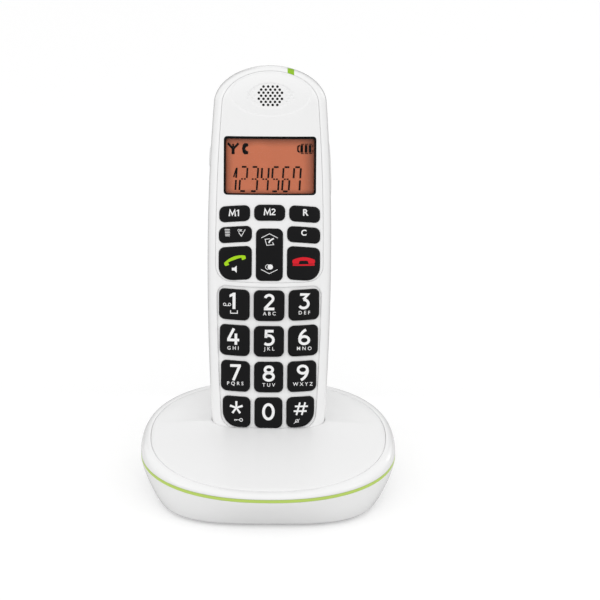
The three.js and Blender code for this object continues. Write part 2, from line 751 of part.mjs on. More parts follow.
// The deck and the cradle under it are one moulding.
function deck() {
  const plate = upperSkin(0).subtract(upperSkin(deckWall)).intersect(prism(deckOutline(0), 0, farOut));
  const cup = atDock(handsetSkin(cradleGap + cradleWall)).intersect(upperSkin(deckWall / 2))
    .intersect(prism(deckOutline(-deckLedge - 1), 0, farOut));
  const under = upperSkin(deckWall / 2).intersect(basePosts(basePostRadius, basePostFoot, farOut));
  const footed = atDock(handsetSkin(cradleGap + cradleWall)).intersect(
    block(-farOut, farOut, -farOut, farOut, 0, trimTop + 1));
  const body = joined(plate, cup, footed.intersect(prism(deckOutline(-deckLedge - 1), 0, farOut)), under);
  const pilots = basePosts(baseScrewRadius * 0.9, 0, basePostFoot + 7, 10);
  const pinHoles = [-padAcross, padAcross].map((x) => atDock(crossBar(pinRadius + slideGap, x, padCentre, -8, 2, 12)));
  return without(body, atDock(handsetSkin(cradleGap)), pilots, ...pinHoles);
}

function baseBoard() {
  const shape = { halfWidth: soleHalfWidth - baseBoardInset, halfDepth: soleHalfDepth - baseBoardInset, power: solePower };
  const points = Array.from({ length: 40 }, (_, i) =>
    new THREE.Vector2(...outlinePoint(shape, (i * Math.PI) / 20)));
  const plate = prism(points, baseBoardBottom, baseBoardBottom + baseBoardThickness);
  return plate.subtract(block(-farOut, farOut, baseBoardBack, farOut, 0, farOut))
    .subtract(basePosts(basePostRadius + 1 + seatGap, 0, farOut));
}

// A line socket: a port with a latch slot below it and four contact ribs along its ceiling.
function lineSocket() {
  const port = socketFace - linePortDepth;
  const floor = socketBottom + latchHeight + 0.9;
  const body = socketBlock(lineSocketX, lineSocketWidth, 0, socketFront, socketFace);
  const half = linePortWidth / 2;
  const hole = block(lineSocketX - half, lineSocketX + half, port, farOut, floor, floor + linePortHeight);
  const latch = block(lineSocketX - latchWidth / 2, lineSocketX + latchWidth / 2, port + 3, farOut,
    floor - latchHeight, floor + 1);
  const ribs = [-1.5, -0.5, 0.5, 1.5].map((i) => {
    const x = lineSocketX + i * 1.02;
    const top = floor + linePortHeight;
    return block(x - 0.2, x + 0.2, port - 0.5, socketFace - 2, top - 0.7, top + 0.3);
  });
  return joined(without(body, hole, latch), ...ribs);
}

function powerSocket() {
  const z = (socketBottom + socketTop) / 2;
  const body = socketBlock(powerSocketX, powerSocketWidth, 0, socketFront, socketFace);
  const hole = crossBar(powerPortRadius, powerSocketX, z, socketFace - 9, farOut, 20);
  const pin = crossBar(powerPinRadius, powerSocketX, z, socketFace - 9.5, socketFace - 1, 10);
  return body.subtract(hole).add(pin);
}

function pageButton() {
  const face = lowerOutline(pageZ).halfDepth + pageProud;
  return pageBar(0, face - pageLength, face);
}

function baseScrew(x) {
  const head = footHeight + 0.5;
  const profile = [[0, head], [baseScrewHeadRadius, head], [baseScrewHeadRadius, head + baseScrewHeadHeight],
    [baseScrewRadius * 0.8, head + baseScrewHeadHeight], [baseScrewRadius * 0.8, basePostFoot + 5.4],
    [0, basePostFoot + 6]];
  return turned(profile, x, baseScrewY);
}

// ---- The whole telephone ----
const phone = new THREE.Group();

function put(group, name, made, material) {
  const mesh = new THREE.Mesh(geometryOf(made), material);
  mesh.name = name;
  group.add(mesh);
}

function putBase() {
  put(phone, "base_lower_shell", lowerShell(), white);
  put(phone, "base_trim_ring", trimRing(), green);
  put(phone, "base_upper_shell", upperShell(), white);
  put(phone, "base_deck", deck(), white);
  put(phone, "base_circuit_board", baseBoard(), board);
  put(phone, "line_socket", lineSocket(), darkPlastic);
  put(phone, "power_socket", powerSocket(), darkPlastic);
  put(phone, "page_button", pageButton(), white);
  baseScrews.forEach((x, i) => put(phone, "base_screw_" + ["left", "right"][i], baseScrew(x), steel));
  rubberSpots.forEach(([x, y], i) => {
    const name = "foot_" + ["front_left", "front_right", "rear_left", "rear_right"][i];
    put(phone, name, bar(rubberRadius, x, y, 0, rubberThickness, 20), rubber);
  });
}

function putPins() {
  [-padAcross, padAcross].forEach((x, i) => {
    const pin = crossBar(pinRadius, x, padCentre, pinTop - pinLength, pinTop, 12);
    put(docked, "charging_pin_" + ["left", "right"][i], pin, gold);
  });
}

function putHandset() {
  put(docked, "handset_front_shell", frontShell(), white);
  put(docked, "handset_fascia", fascia(), white);
  put(docked, "handset_rear_shell", rearShell(), white);
  put(docked, "battery_cover", batteryCover(), white);
  put(docked, "display_lens", lens(), clear);
  put(docked, "lcd_glass", lcdGlass(), amber);
  put(docked, "lcd_backlight", backlight(), amber);
  put(docked, "handset_circuit_board", handsetBoard(), board);
  put(docked, "keypad_mat", keypadMat(), silicone);
  put(docked, "indicator_light_pipe", lightPipe(), indicatorGreen);
  keys.forEach((key) => put(docked, key.name, keyCap(key), black));
}

function putHandsetParts() {
  const proud = handsetSkin(sideButtonProud);
  const boss = bar(rockerBoss, sideAt(rockerAt) - sideButtonDepth, rockerAt,
    sideButtonCentre - sideButtonWidth / 2, sideButtonCentre + sideButtonWidth / 2, 16);
  put(docked, "volume_rocker", proud.intersect(sideButtonBlock(1, rockerAt, rockerLength, 0)).add(boss), white);
  put(docked, "boost_button", proud.intersect(sideButtonBlock(-1, boostAt, boostLength, 0)), white);
  const receiver = bar(receiverRadius, 0, earAt, receiverTop - receiverThickness, receiverTop, 24);
  put(docked, "earpiece_receiver", receiver, darkPlastic);
  const speakerBack = -backAt(speakerAt) + rearWall + 1.2;
  put(docked, "loudspeaker", bar(speakerRadius, 0, speakerAt, speakerBack, speakerBack + speakerThickness, 24), darkPlastic);
  const microphoneFoot = shellWall + 4 * seatGap;
  put(docked, "microphone",
    crossBar(microphoneRadius, 0, microphoneCentre, microphoneFoot, microphoneFoot + microphoneLength, 16), darkPlastic);
  [-1, 1].forEach((side, i) => {
    const word = ["left", "right"][i];
    put(docked, "battery_cell_" + word, cell((side * cellSpacing) / 2), cellWrap);
    put(docked, "battery_spring_" + word, spring((side * cellSpacing) / 2), steel);
    put(docked, "handset_screw_" + word, screw(side * screwAcross), steel);
    put(docked, "charging_pad_" + word, padBlocks(0)[i], gold);
  });
  put(docked, "battery_link_plate", linkPlate(), steel);
}

putBase();
putPins();
putHandset();
putHandsetParts();
phone.add(docked);

// The frame's origin is the middle of the whole object's box, on the table.
phone.updateMatrixWorld(true);
const extent = new THREE.Box3().setFromObject(phone, true);
phone.position.y = -(extent.min.y + extent.max.y) / 2;

export default phone;
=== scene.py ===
"""A cordless telephone standing in its charging base: finished shells, keys, legends, display and studio."""
import json
import math

import bmesh
import bpy
import numpy as np
from mathutils import Matrix, Vector


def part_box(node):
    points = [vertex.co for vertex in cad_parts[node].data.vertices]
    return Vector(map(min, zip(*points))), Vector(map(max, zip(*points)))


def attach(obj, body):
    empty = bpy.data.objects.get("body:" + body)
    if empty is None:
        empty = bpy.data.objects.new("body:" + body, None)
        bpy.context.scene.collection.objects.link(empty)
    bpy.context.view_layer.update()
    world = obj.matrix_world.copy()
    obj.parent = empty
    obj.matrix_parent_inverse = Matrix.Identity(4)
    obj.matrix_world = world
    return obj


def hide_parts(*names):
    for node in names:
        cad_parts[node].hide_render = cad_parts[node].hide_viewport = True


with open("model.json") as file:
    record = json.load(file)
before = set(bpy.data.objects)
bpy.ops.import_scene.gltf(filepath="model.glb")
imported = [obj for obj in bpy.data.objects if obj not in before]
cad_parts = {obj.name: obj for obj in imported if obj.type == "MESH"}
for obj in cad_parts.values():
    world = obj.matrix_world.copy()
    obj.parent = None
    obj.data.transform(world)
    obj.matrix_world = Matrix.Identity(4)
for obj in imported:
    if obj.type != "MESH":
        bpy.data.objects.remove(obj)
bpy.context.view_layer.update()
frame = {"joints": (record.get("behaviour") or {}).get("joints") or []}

MM = 0.001

# ---- Sizes, in millimetres, and the two frames that they are drawn in ----
trim_low, trim_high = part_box("base_trim_ring")
base_y = (trim_low.y + trim_high.y) / 2 / MM
base_half_x = (trim_high.x - trim_low.x) / 2 / MM
base_half_y = (trim_high.y - trim_low.y) / 2 / MM
trim_bottom = trim_low.z / MM
trim_top = trim_high.z / MM
shell_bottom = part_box("base_lower_shell")[0].z / MM
base_power = 2.2
sole_half_x = base_half_x - 7.5
sole_half_y = base_half_y - 4.5
sole_power = 3.4
rim_inset = 4.0
rim_back = 1.4
deck_front = 2.1
deck_back = 10.8
deck_crown = 2.3
seam = 0.2

lift = next(j for j in frame["joints"] if j["name"] == "handset_lift")
along = Vector(lift["axis"]).normalized()
across = Vector((1, 0, 0))
outward = along.cross(across).normalized() * -1
foot_point = Vector((0, base_y + 6.7, 9.6))

handset_length = 161.5
widest_half = 25.6
widest_at = 84.0
foot_half = 22.4
shoulder_half = 23.3
crown_length = 15.8
shoulder_at = handset_length - crown_length
foot_round = 8.0
face_height = 9.0
back_depth = 15.0
foot_back_depth = 10.6
crown_back_depth = 13.0
back_deepest_at = 60.0
slot_gap = 0.16


def on_handset(u, v, w):
    """A point of the docked handset: u across, v along from its foot, w out of its face."""
    return (foot_point + across * u + along * v + outward * w) * MM


def on_base(x, y, z):
    return Vector((x, y + base_y, z)) * MM


# ---- Handset skin ----
def side(v):
    end = foot_half if v < widest_at else shoulder_half
    span = widest_at if v < widest_at else shoulder_at - widest_at
    return widest_half - (widest_half - end) * min(1.0, abs(v - widest_at) / span) ** 2


def depth_at(v):
    below = v < back_deepest_at
    end = foot_back_depth if below else crown_back_depth
    span = back_deepest_at if below else handset_length - back_deepest_at
    share = min(1.0, abs(v - back_deepest_at) / span)
    return back_depth - (back_depth - end) * share ** (3 if below else 2)


def spread(u, v):
    """0 on the handset's centre line and 1 on its parting line."""
    if v > shoulder_at:
        return math.hypot(u / shoulder_half, (v - shoulder_at) / crown_length)
    if v < foot_round:
        return (abs(u / side(v)) ** 4 + ((foot_round - v) / foot_round) ** 4) ** 0.25
    return abs(u) / side(v)


def face(u, v):
    return face_height * max(0.0, 1 - spread(u, v) ** 3) ** (1 / 3)


def back(u, v):
    return -depth_at(v) * max(0.0, 1 - spread(u, v) ** 2.6) ** (1 / 2.6)


def handset_outline(share):
    """The closed curve where the handset's skin has this spread."""
    points = []
    for i in range(15):
        turn = math.pi / 2 * i / 14
        v = foot_round * (1 - share * math.sqrt(math.cos(turn)))
        points.append((share * side(v) * math.sqrt(math.sin(turn)), v))
    for i in range(1, 70):
        v = foot_round + (shoulder_at - foot_round) * i / 69
        points.append((share * side(v), v))
    for i in range(1, 61):
        turn = math.pi / 2 * i / 60
        points.append(
            (share * shoulder_half * math.cos(turn), shoulder_at + share * crown_length * math.sin(turn))
        )
    points[0] = (0.0, points[0][1])
    points[-1] = (0.0, points[-1][1])
    return both_sides(points)


def both_sides(right):
    """Adds the left half to the right half of an outline that runs from its lowest to its highest point."""
    return right + [(-x, y) for x, y in reversed(right) if abs(x) > 1e-9]


def arc(x, y, radius, start, end, count):
    turns = [start + (end - start) * i / (count - 1) for i in range(count)]
    return [(x + radius * math.cos(a), y + radius * math.sin(a)) for a in turns]


def rounded(x, y, width, height, radii, steps=8):
    """A rounded rectangle; radii run from the lower right corner anticlockwise."""
    points = []
    for k, (sx, sy) in enumerate([(1, -1), (1, 1), (-1, 1), (-1, -1)]):
        r = radii[k]
        points += arc(
            x + sx * (width / 2 - r),
            y + sy * (height / 2 - r),
            r,
            (k - 1) * math.pi / 2,
            k * math.pi / 2,
            steps,
        )
    return points


def dense(points, step):
    """The same outline with points added along its long edges."""
    out = []
    for (x0, y0), (x1, y1) in zip(points, points[1:] + points[:1]):
        n = max(1, round(math.hypot(x1 - x0, y1 - y0) / step))
        out += [(x0 + (x1 - x0) * i / n, y0 + (y1 - y0) * i / n) for i in range(n)]
    return out


# ---- Outlines on the face ----
fascia_inset = 3.43
fascia_top_inset = 1.95
fascia_bottom = 72.25
fascia_corner = 6.6
field_top = 70.3
field_bottom = 10.9
field_inset = 3.9
field_bow = 0.0019
upper_bow = -0.0026
window_width = 38.1
window_height = 24.2
window_at = 120.65
key_gap = 1.98
digit_height = 12.5
first_row = 62.68
row_pitch = 14.87
opening_gap = 0.14
field_depth = 0.65


def fascia_outline(grow):
    low = fascia_bottom - grow
    r = fascia_corner + grow
    inset = fascia_inset - grow
    x = side(low + r) - inset - r
    right = [(x * i / 12, low + field_bow * (x * i / 12) ** 2) for i in range(12)]
    right += [
        (a, b + field_bow * a * a * (1 - k / 11))
        for k, (a, b) in enumerate(arc(x, low + r, r, -math.pi / 2, 0, 12))
    ]
    last = right[-1][1]
    right += [(side(v) - inset, v) for v in (last + (shoulder_at - last) * i / 40 for i in range(1, 41))]
    rise = crown_length - fascia_top_inset + grow
    for i in range(1, 31):
        turn = math.pi / 2 * i / 30
        right.append(((shoulder_half - inset) * math.cos(turn), shoulder_at + rise * math.sin(turn)))
    right[-1] = (0.0, right[-1][1])
    return both_sides(right)


def field_outline(grow):
    low, high = field_bottom - grow, field_top + grow
    lower, upper = 6.6 + grow, 3.4 + grow
    inset = field_inset - grow
    x0 = side(low + lower) - inset - lower
    x1 = side(high - upper) - inset - upper
    right = [(x0 * i / 10, low + field_bow * (x0 * i / 10) ** 2) for i in range(10)]
    right += [
        (a, b + field_bow * a * a * (1 - k / 11))
        for k, (a, b) in enumerate(arc(x0, low + lower, lower, -math.pi / 2, 0, 12))
    ]
    v0, v1 = right[-1][1], high - upper
    right += [(side(v) - inset, v) for v in (v0 + (v1 - v0) * i / 24 for i in range(1, 24))]
    right += [
        (a, b + field_bow * a * a * k / 9)
        for k, (a, b) in enumerate(arc(x1, high - upper, upper, 0, math.pi / 2, 10))
    ]
    right += [(x1 * (1 - i / 10), high + field_bow * (x1 * (1 - i / 10)) ** 2) for i in range(1, 11)]
    right[0] = (0.0, right[0][1])
    right[-1] = (0.0, right[-1][1])
    return both_sides(right)


def window_outline(grow):
    return dense(
        rounded(0, window_at, window_width + 2 * grow, window_height + 2 * grow, [1.4 + grow] * 4, 6), 1.5
    )


def key_row(names, v, height, half, margin, bow, middle=None):
    free = 2 * (half - margin) - 2 * key_gap
    middle = middle or free / 3
    outer = (free - middle) / 2
    u = middle / 2 + key_gap + outer / 2
    sizes = [(-u, outer), (0.0, middle), (u, outer)]
    return {n: (x, v, w, height, bow) for n, (x, w) in zip(names, sizes) if n}


keys = {}
for names, v, height, middle in (
    (("key_m1", "key_m2", "key_recall"), 101.3, 6.35, None),
    (("key_menu", "", "key_clear"), 92.7, 6.35, 10.85),
    (("key_talk", "", "key_end"), 80.75, 13.65, 10.85),
):
    keys.update(key_row(names, v, height, side(v) - fascia_inset, 1.35, upper_bow, middle))
keys["key_navigation"] = (0.0, 83.9, 10.85, 21.15, upper_bow)
for i, names in enumerate(("123", "456", "789", ("star", "0", "hash"))):
    v = first_row - i * row_pitch
    keys.update(
        key_row(["key_" + n for n in names], v, digit_height, side(v) - field_inset, 0.9, field_bow)
    )


def key_outline(name, grow):
    u, v, width, height, bow = keys[name]
    radii = [2.2 + grow] * 4
    if name in ("key_end", "key_hash"):
        radii[0] = 6.0 + grow
    if name in ("key_talk", "key_star"):
        radii[3] = 6.0 + grow
    points = dense(rounded(u, v, width + 2 * grow, height + 2 * grow, radii, 9), 1.2)
    return [(x, y + bow * x * x) for x, y in points]


def opening_outline(name, grow):
    """A key's opening, a little longer round the key that rocks."""
    more = 0.17 if name == "key_navigation" else 0.0
    _, v, _, height, _ = keys[name]
    return [(x, v + (y - v) * (1 + 2 * more / height)) for x, y in key_outline(name, grow)]


# ---- Making a piece ----
def finished(name, bm, materials, body, nodes=(), sharp=40):
    """Closes the seams of a shape, turns it outwards, and makes it a piece that rides on a body."""
    bmesh.ops.remove_doubles(bm, verts=bm.verts, dist=2e-7)
    bmesh.ops.recalc_face_normals(bm, faces=bm.faces)
    limit = math.radians(sharp)
    for f in bm.faces:
        f.smooth = True
    for e in bm.edges:
        e.smooth = len(e.link_faces) != 2 or e.calc_face_angle(0) < limit
    mesh = bpy.data.meshes.new(name)
    bm.to_mesh(mesh)
    bm.free()
    piece = bpy.data.objects.new(name, mesh)
    bpy.context.scene.collection.objects.link(piece)
    for m in materials if isinstance(materials, (list, tuple)) else [materials]:
        mesh.materials.append(m)
    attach(piece, body)
    if nodes:
        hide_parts(*nodes)
    return piece


def sheet_of(bm, across_count, along_count, place, material=0):
    """A grid laid on place(s, t), where s and t run from 0 to 1."""
    part = bmesh.new()
    bmesh.ops.create_grid(part, x_segments=across_count, y_segments=along_count, size=0.5)
    for v in part.verts:
        v.co = place(v.co.x + 0.5, v.co.y + 0.5)
    for f in part.faces:
        f.material_index = material
    merge(bm, part)


def merge(bm, part):
    """Adds a finished part to a shape."""
    mesh = bpy.data.meshes.new("part")
    part.to_mesh(mesh)
    part.free()
    bm.from_mesh(mesh)
    bpy.data.meshes.remove(mesh)


def within(element, low, high):
    middle = sum((v.co for v in element.verts), Vector()) / len(element.verts)
    return low[0] < middle.x < high[0] and low[1] < middle.y < high[1]


def cut_lines(part, step, low, high, inside=False):
    """Cuts a flat part along a square grid so that it can follow a curved surface."""
    for axis in (0, 1):
        normal = Vector((1, 0, 0)) if axis == 0 else Vector((0, 1, 0))
        count = int((high[axis] - low[axis]) / step)
        for i in range(1, count + 1):
            at = low[axis] + (high[axis] - low[axis]) * i / (count + 1)
            faces = [f for f in part.faces if within(f, low, high)] if inside else part.faces[:]
            edges = {e for f in faces for e in f.edges}
            geom = [*{v for f in faces for v in f.verts}, *edges, *faces]
            bmesh.ops.bisect_plane(part, geom=geom, dist=1e-5, plane_co=normal * at, plane_no=normal)


def plate(bm, edges, height, place, step=1.6, material=0, floor=None, fine=None):
    """A flat outline with holes, laid on a curved surface.

    edges lists (outline, rings): outline(grow) gives points, and rings lists (grow, drop)
    down from the top's edge.
    floor closes it below, at that drop, and fine is a region with a closer grid, as (low, high, step).
    """
    part = bmesh.new()
    all_edges = []
    known = []
    for outline, rings in edges:
        points = outline(rings[0][0])
        known.append(np.array(points))
        verts = [part.verts.new((x, y, 0)) for x, y in points]
        all_edges += [part.edges.new(pair) for pair in zip(verts, verts[1:] + verts[:1])]
    bmesh.ops.triangle_fill(part, use_beauty=True, edges=all_edges, normal=(0, 0, 1))
    low = np.min([k.min(0) for k in known], 0)
    high = np.max([k.max(0) for k in known], 0)
    cut_lines(part, step, low, high)
    if fine:
        cut_lines(part, fine[2], fine[0], fine[1], inside=True)
    for f in part.faces:
        if f.normal.z < 0:
            f.normal_flip()
    rim = [e for e in part.edges if e.is_boundary]
    where = {}
    for vert in {v for e in rim for v in e.verts}:
        where[vert] = nearest(known, vert.co.x, vert.co.y)
    under = None
    if floor is not None:
        under = bmesh.ops.duplicate(part, geom=part.verts[:] + part.edges[:] + part.faces[:])
    rims = [[e for e in rim if where[e.verts[0]][0] == k] for k in range(len(edges))]
    lasts = {}
    for k, (outline, rings) in enumerate(edges):
        ring_edges, now = rims[k], {tuple(v.co): where[v] for e in rims[k] for v in e.verts}
        for grow, drop in rings[1:]:
            made = bmesh.ops.extrude_edge_only(part, edges=ring_edges)["geom"]
            points = np.array(outline(grow))
            moved = {}
            for v in (g for g in made if isinstance(g, bmesh.types.BMVert)):
                loop, i, share = now[tuple(v.co)]
                at = points[i] * (1 - share) + points[(i + 1) % len(points)] * share
                v.co = (at[0], at[1], -drop)
                moved[tuple(v.co)] = (loop, i, share)
            ring_edges = [g for g in made if isinstance(g, bmesh.types.BMEdge) and g.is_boundary]
            now = moved
        lasts[k] = rings[-1][0]
    if under:
        copies = [g for g in under["geom"] if isinstance(g, bmesh.types.BMVert)]
        flat = {(round(v.co.x, 5), round(v.co.y, 5)): where[v] for v in where}
        for v in copies:
            spot = flat.get((round(v.co.x, 5), round(v.co.y, 5)))
            if spot:
                points = np.array(edges[spot[0]][0](lasts[spot[0]]))
                at = points[spot[1]] * (1 - spot[2]) + points[(spot[1] + 1) % len(points)] * spot[2]
                v.co = (at[0], at[1], 0)
            v.co.z = -floor
        for f in (g for g in under["geom"] if isinstance(g, bmesh.types.BMFace)):
            f.normal_flip()
    for v in part.verts:
        v.co = place(v.co.x, v.co.y, height(v.co.x, v.co.y) + v.co.z)
    for f in part.faces:
        f.material_index = material
    merge(bm, part)


def nearest(known, x, y):
    """The loop, the edge and the share along it nearest to a point."""
    best = None
    for k, points in enumerate(known):
        a = points
        b = np.roll(points, -1, 0)
        d = b - a
        t = np.clip(
            ((x - a[:, 0]) * d[:, 0] + (y - a[:, 1]) * d[:, 1]) / np.maximum((d * d).sum(1), 1e-12), 0, 1
        )
        gap = (a[:, 0] + d[:, 0] * t - x) ** 2 + (a[:, 1] + d[:, 1] * t - y) ** 2
        i = int(gap.argmin())
        if best is None or gap[i] < best[0]:
            best = (gap[i], (k, i, float(t[i])))
    return best[1]


def eased(grow, radius, depth, hole=False, count=3):
    """Rings for an edge rounded with a radius and then straight down to a depth."""
    sign = 1 if hole else -1
    rings = []
    for i in range(count + 1):
        turn = math.pi / 2 * i / count
        rings.append((grow + sign * radius * (1 - math.sin(turn)), radius * (1 - math.cos(turn))))
    return rings + [(grow, depth)]


# ---- Materials ----
def group(name, inputs, outputs):
    made = bpy.data.node_groups.new(name, "ShaderNodeTree")
    for label, kind, value in inputs:
        socket = made.interface.new_socket(label, in_out="INPUT", socket_type=kind)
        socket.default_value = value
    for label, kind in outputs:
        made.interface.new_socket(label, in_out="OUTPUT", socket_type=kind)
    return made, made.nodes.new("NodeGroupInput"), made.nodes.new("NodeGroupOutput")


def moulded_skin():
    """Faint flow marks, fine texture and handling marks of a moulded part."""
    made, given, out = group(
        "moulded_skin",
        [
            ("Color", "NodeSocketColor", (0.8, 0.8, 0.8, 1)),
            ("Variation", "NodeSocketFloat", 0.02),
            ("Roughness", "NodeSocketFloat", 0.3),
            ("Smudge", "NodeSocketFloat", 0.05),
            ("Grain Scale", "NodeSocketFloat", 3000.0),
            ("Grain", "NodeSocketFloat", 0.1),
        ],
        [("Color", "NodeSocketColor"), ("Roughness", "NodeSocketFloat"), ("Height", "NodeSocketFloat")],
    )
    n, link = made.nodes, made.links.new
    where = n.new("ShaderNodeTexCoord")
    flow = n.new("ShaderNodeTexNoise")
    flow.inputs["Scale"].default_value = 28
    flow.inputs["Detail"].default_value = 3
    grain = n.new("ShaderNodeTexNoise")
    grain.inputs["Detail"].default_value = 2
    marks = n.new("ShaderNodeTexNoise")
    marks.inputs["Scale"].default_value = 45
    marks.inputs["Detail"].default_value = 2
    for t in (flow, grain, marks):
        link(where.outputs["Object"], t.inputs["Vector"])
    link(given.outputs["Grain Scale"], grain.inputs["Scale"])
    centred = n.new("ShaderNodeMath")
    centred.operation = "SUBTRACT"
    centred.inputs[1].default_value = 0.5
    link(flow.outputs["Fac"], centred.inputs[0])
    amount = n.new("ShaderNodeMath")
    amount.operation = "MULTIPLY"
    link(centred.outputs[0], amount.inputs[0])
    link(given.outputs["Variation"], amount.inputs[1])
    bright = n.new("ShaderNodeBrightContrast")
    link(given.outputs["Color"], bright.inputs["Color"])
    link(amount.outputs[0], bright.inputs["Bright"])
    link(bright.outputs["Color"], out.inputs["Color"])
    total = n.new("ShaderNodeMath")
    total.operation = "MULTIPLY_ADD"
    link(marks.outputs["Fac"], total.inputs[0])
    link(given.outputs["Smudge"], total.inputs[1])
    link(given.outputs["Roughness"], total.inputs[2])
    link(total.outputs[0], out.inputs["Roughness"])
    height = n.new("ShaderNodeMath")
    height.operation = "MULTIPLY"
    link(grain.outputs["Fac"], height.inputs[0])
    link(given.outputs["Grain"], height.inputs[1])
    link(height.outputs[0], out.inputs["Height"])
    return made


skin_group = moulded_skin()


def finish_of(
    name, color, roughness, variation=0.02, smudge=0.05, grain_scale=3000, grain=0.1, bump=0.0003, **sockets
):
    """A Principled material whose colour, roughness and bump come from the moulded skin."""
    material = bpy.data.materials.new(name)
    material.use_nodes = True
    tree = material.node_tree
    shader = tree.nodes["Principled BSDF"]
    skin = tree.nodes.new("ShaderNodeGroup")
    skin.node_tree = skin_group
    skin.inputs["Color"].default_value = (*color, 1)
    for label, value in (
        ("Variation", variation),
        ("Roughness", roughness),
        ("Smudge", smudge),
        ("Grain Scale", grain_scale),
        ("Grain", grain),
    ):
        skin.inputs[label].default_value = value
    bumped = tree.nodes.new("ShaderNodeBump")
    bumped.inputs["Distance"].default_value = bump
    tree.links.new(skin.outputs["Color"], shader.inputs["Base Color"])
    tree.links.new(skin.outputs["Roughness"], shader.inputs["Roughness"])
    tree.links.new(skin.outputs["Height"], bumped.inputs["Height"])
    tree.links.new(bumped.outputs["Normal"], shader.inputs["Normal"])
    for label, value in sockets.items():
        shader.inputs[label.replace("_", " ")].default_value = value
    return material


white_shell = finish_of(
    "white_shell",
    (0.865, 0.865, 0.865),
    0.25,
    0.012,
    0.03,
    2600,
    0.05,
    0.00002,
    Coat_Weight=0.3,
    Coat_Roughness=0.08,
)
white_deck = finish_of(
    "white_deck", (0.85, 0.85, 0.85), 0.34, 0.012, 0.06, 4200, 0.3, 0.00003, Coat_Weight=0.15
)
key_black = finish_of(
    "key_black", (0.0055, 0.0055, 0.006), 0.48, 0.004, 0.1, 5200, 0.6, 0.00006, Specular_IOR_Level=0.12
)
legend_white = finish_of("legend_white", (0.86, 0.86, 0.86), 0.5, 0.02, 0.05, 6000, 0.3, 0.00002)
legend_green = finish_of("legend_green", (0.375, 0.66, 0.008), 0.45, 0.03, Specular_IOR_Level=0.2)
legend_red = finish_of("legend_red", (0.68, 0.006, 0.018), 0.45, 0.02, Specular_IOR_Level=0.2)
trim_green = finish_of("trim_green", (0.52, 0.70, 0.13), 0.35, 0.03, Coat_Weight=0.15)
pipe_green = finish_of(
    "pipe_green", (0.26, 0.50, 0.008), 0.3, 0.03, Coat_Weight=0.1, Specular_IOR_Level=0.2
)
frame_black = finish_of("frame_black", (0.004, 0.004, 0.004), 0.4, 0.002, Specular_IOR_Level=0.1)
hole_dark = finish_of("hole_dark", (0.02, 0.02, 0.02), 0.8, 0.01)
board_green = finish_of(
    "board_green", (0.02, 0.11, 0.04), 0.4, 0.03, 0.15, 700, 0.8, 0.00005, Coat_Weight=0.3
)
mat_grey = finish_of("mat_grey", (0.32, 0.32, 0.32), 0.7, 0.03, 0.1, 1500, 0.5, 0.00005)
socket_black = finish_of("socket_black", (0.02, 0.02, 0.021), 0.45, 0.01, 0.1, 1800, 0.6, 0.00005)
plated_steel = finish_of(
    "plated_steel", (0.62, 0.62, 0.60), 0.28, 0.05, 0.15, 1400, 0.4, 0.00003, Metallic=1.0
)
plated_gold = finish_of(
    "plated_gold", (0.83, 0.60, 0.24), 0.22, 0.05, 0.12, 1400, 0.4, 0.00003, Metallic=1.0
)
cell_wrap = finish_of("cell_wrap", (0.06, 0.20, 0.42), 0.3, 0.03, 0.1, 900, 0.4, 0.00003, Coat_Weight=0.4)
foot_rubber = finish_of("foot_rubber", (0.16, 0.16, 0.16), 0.85, 0.05, 0.1, 1200, 0.9, 0.0001)


def display_glow():
    """Backlit amber, with painted shade darkening it towards the window's edges and a painted reflection
    streak near the top, both read from the face's attribute.
    """
    material = bpy.data.materials.new("display_glow")
    material.use_nodes = True
    tree = material.node_tree
    n, link = tree.nodes, tree.links.new
    shader = n["Principled BSDF"]
    where = n.new("ShaderNodeTexCoord")
    streaks = n.new("ShaderNodeTexNoise")
    streaks.inputs["Scale"].default_value = 60
    link(where.outputs["Object"], streaks.inputs["Vector"])
    painted_shade_and_reflection = n.new("ShaderNodeAttribute")
    painted_shade_and_reflection.attribute_name = "edge"
    ramp = n.new("ShaderNodeValToRGB")
    ramp.color_ramp.elements[0].color = (0.03, 0.006, 0.002, 1)
    ramp.color_ramp.elements[1].color = (0.455, 0.127, 0.058, 1)
    ramp.color_ramp.elements[1].position = 1.0
    mixed = n.new("ShaderNodeMath")
    mixed.operation = "MULTIPLY_ADD"
    mixed.inputs[1].default_value = 0.1
    link(streaks.outputs["Fac"], mixed.inputs[0])
    link(painted_shade_and_reflection.outputs["Fac"], mixed.inputs[2])
    link(mixed.outputs[0], ramp.inputs["Fac"])
    link(ramp.outputs["Color"], shader.inputs["Base Color"])
    link(ramp.outputs["Color"], shader.inputs["Emission Color"])
    shader.inputs["Emission Strength"].default_value = 0.4
    shader.inputs["Roughness"].default_value = 0.5
    return material


def window_clear():
    material = bpy.data.materials.new("window_clear")
    material.use_nodes = True
    tree = material.node_tree
    n, link = tree.nodes, tree.links.new
    n.remove(n["Principled BSDF"])
    gloss = n.new("ShaderNodeBsdfGlossy")
    gloss.inputs["Roughness"].default_value = 0.05
    through = n.new("ShaderNodeBsdfTransparent")
    through.inputs["Color"].default_value = (0.97, 0.97, 0.97, 1)
    view_angle = n.new("ShaderNodeFresnel")
    view_angle.inputs["IOR"].default_value = 1.06
    mix = n.new("ShaderNodeMixShader")
    link(view_angle.outputs["Fac"], mix.inputs["Fac"])
    link(through.outputs["BSDF"], mix.inputs[1])
    link(gloss.outputs["BSDF"], mix.inputs[2])
    link(mix.outputs["Shader"], n["Material Output"].inputs["Surface"])
    return material


amber = display_glow()
clear = window_clear()

# ---- Base ----
def loop_point(half_x, half_y, power, turn):
    c, s = math.cos(turn), math.sin(turn)
    x = math.copysign(abs(c) ** (2 / power), c) * half_x
    y = math.copysign(abs(s) ** (2 / power), s) * half_y
    return x, y


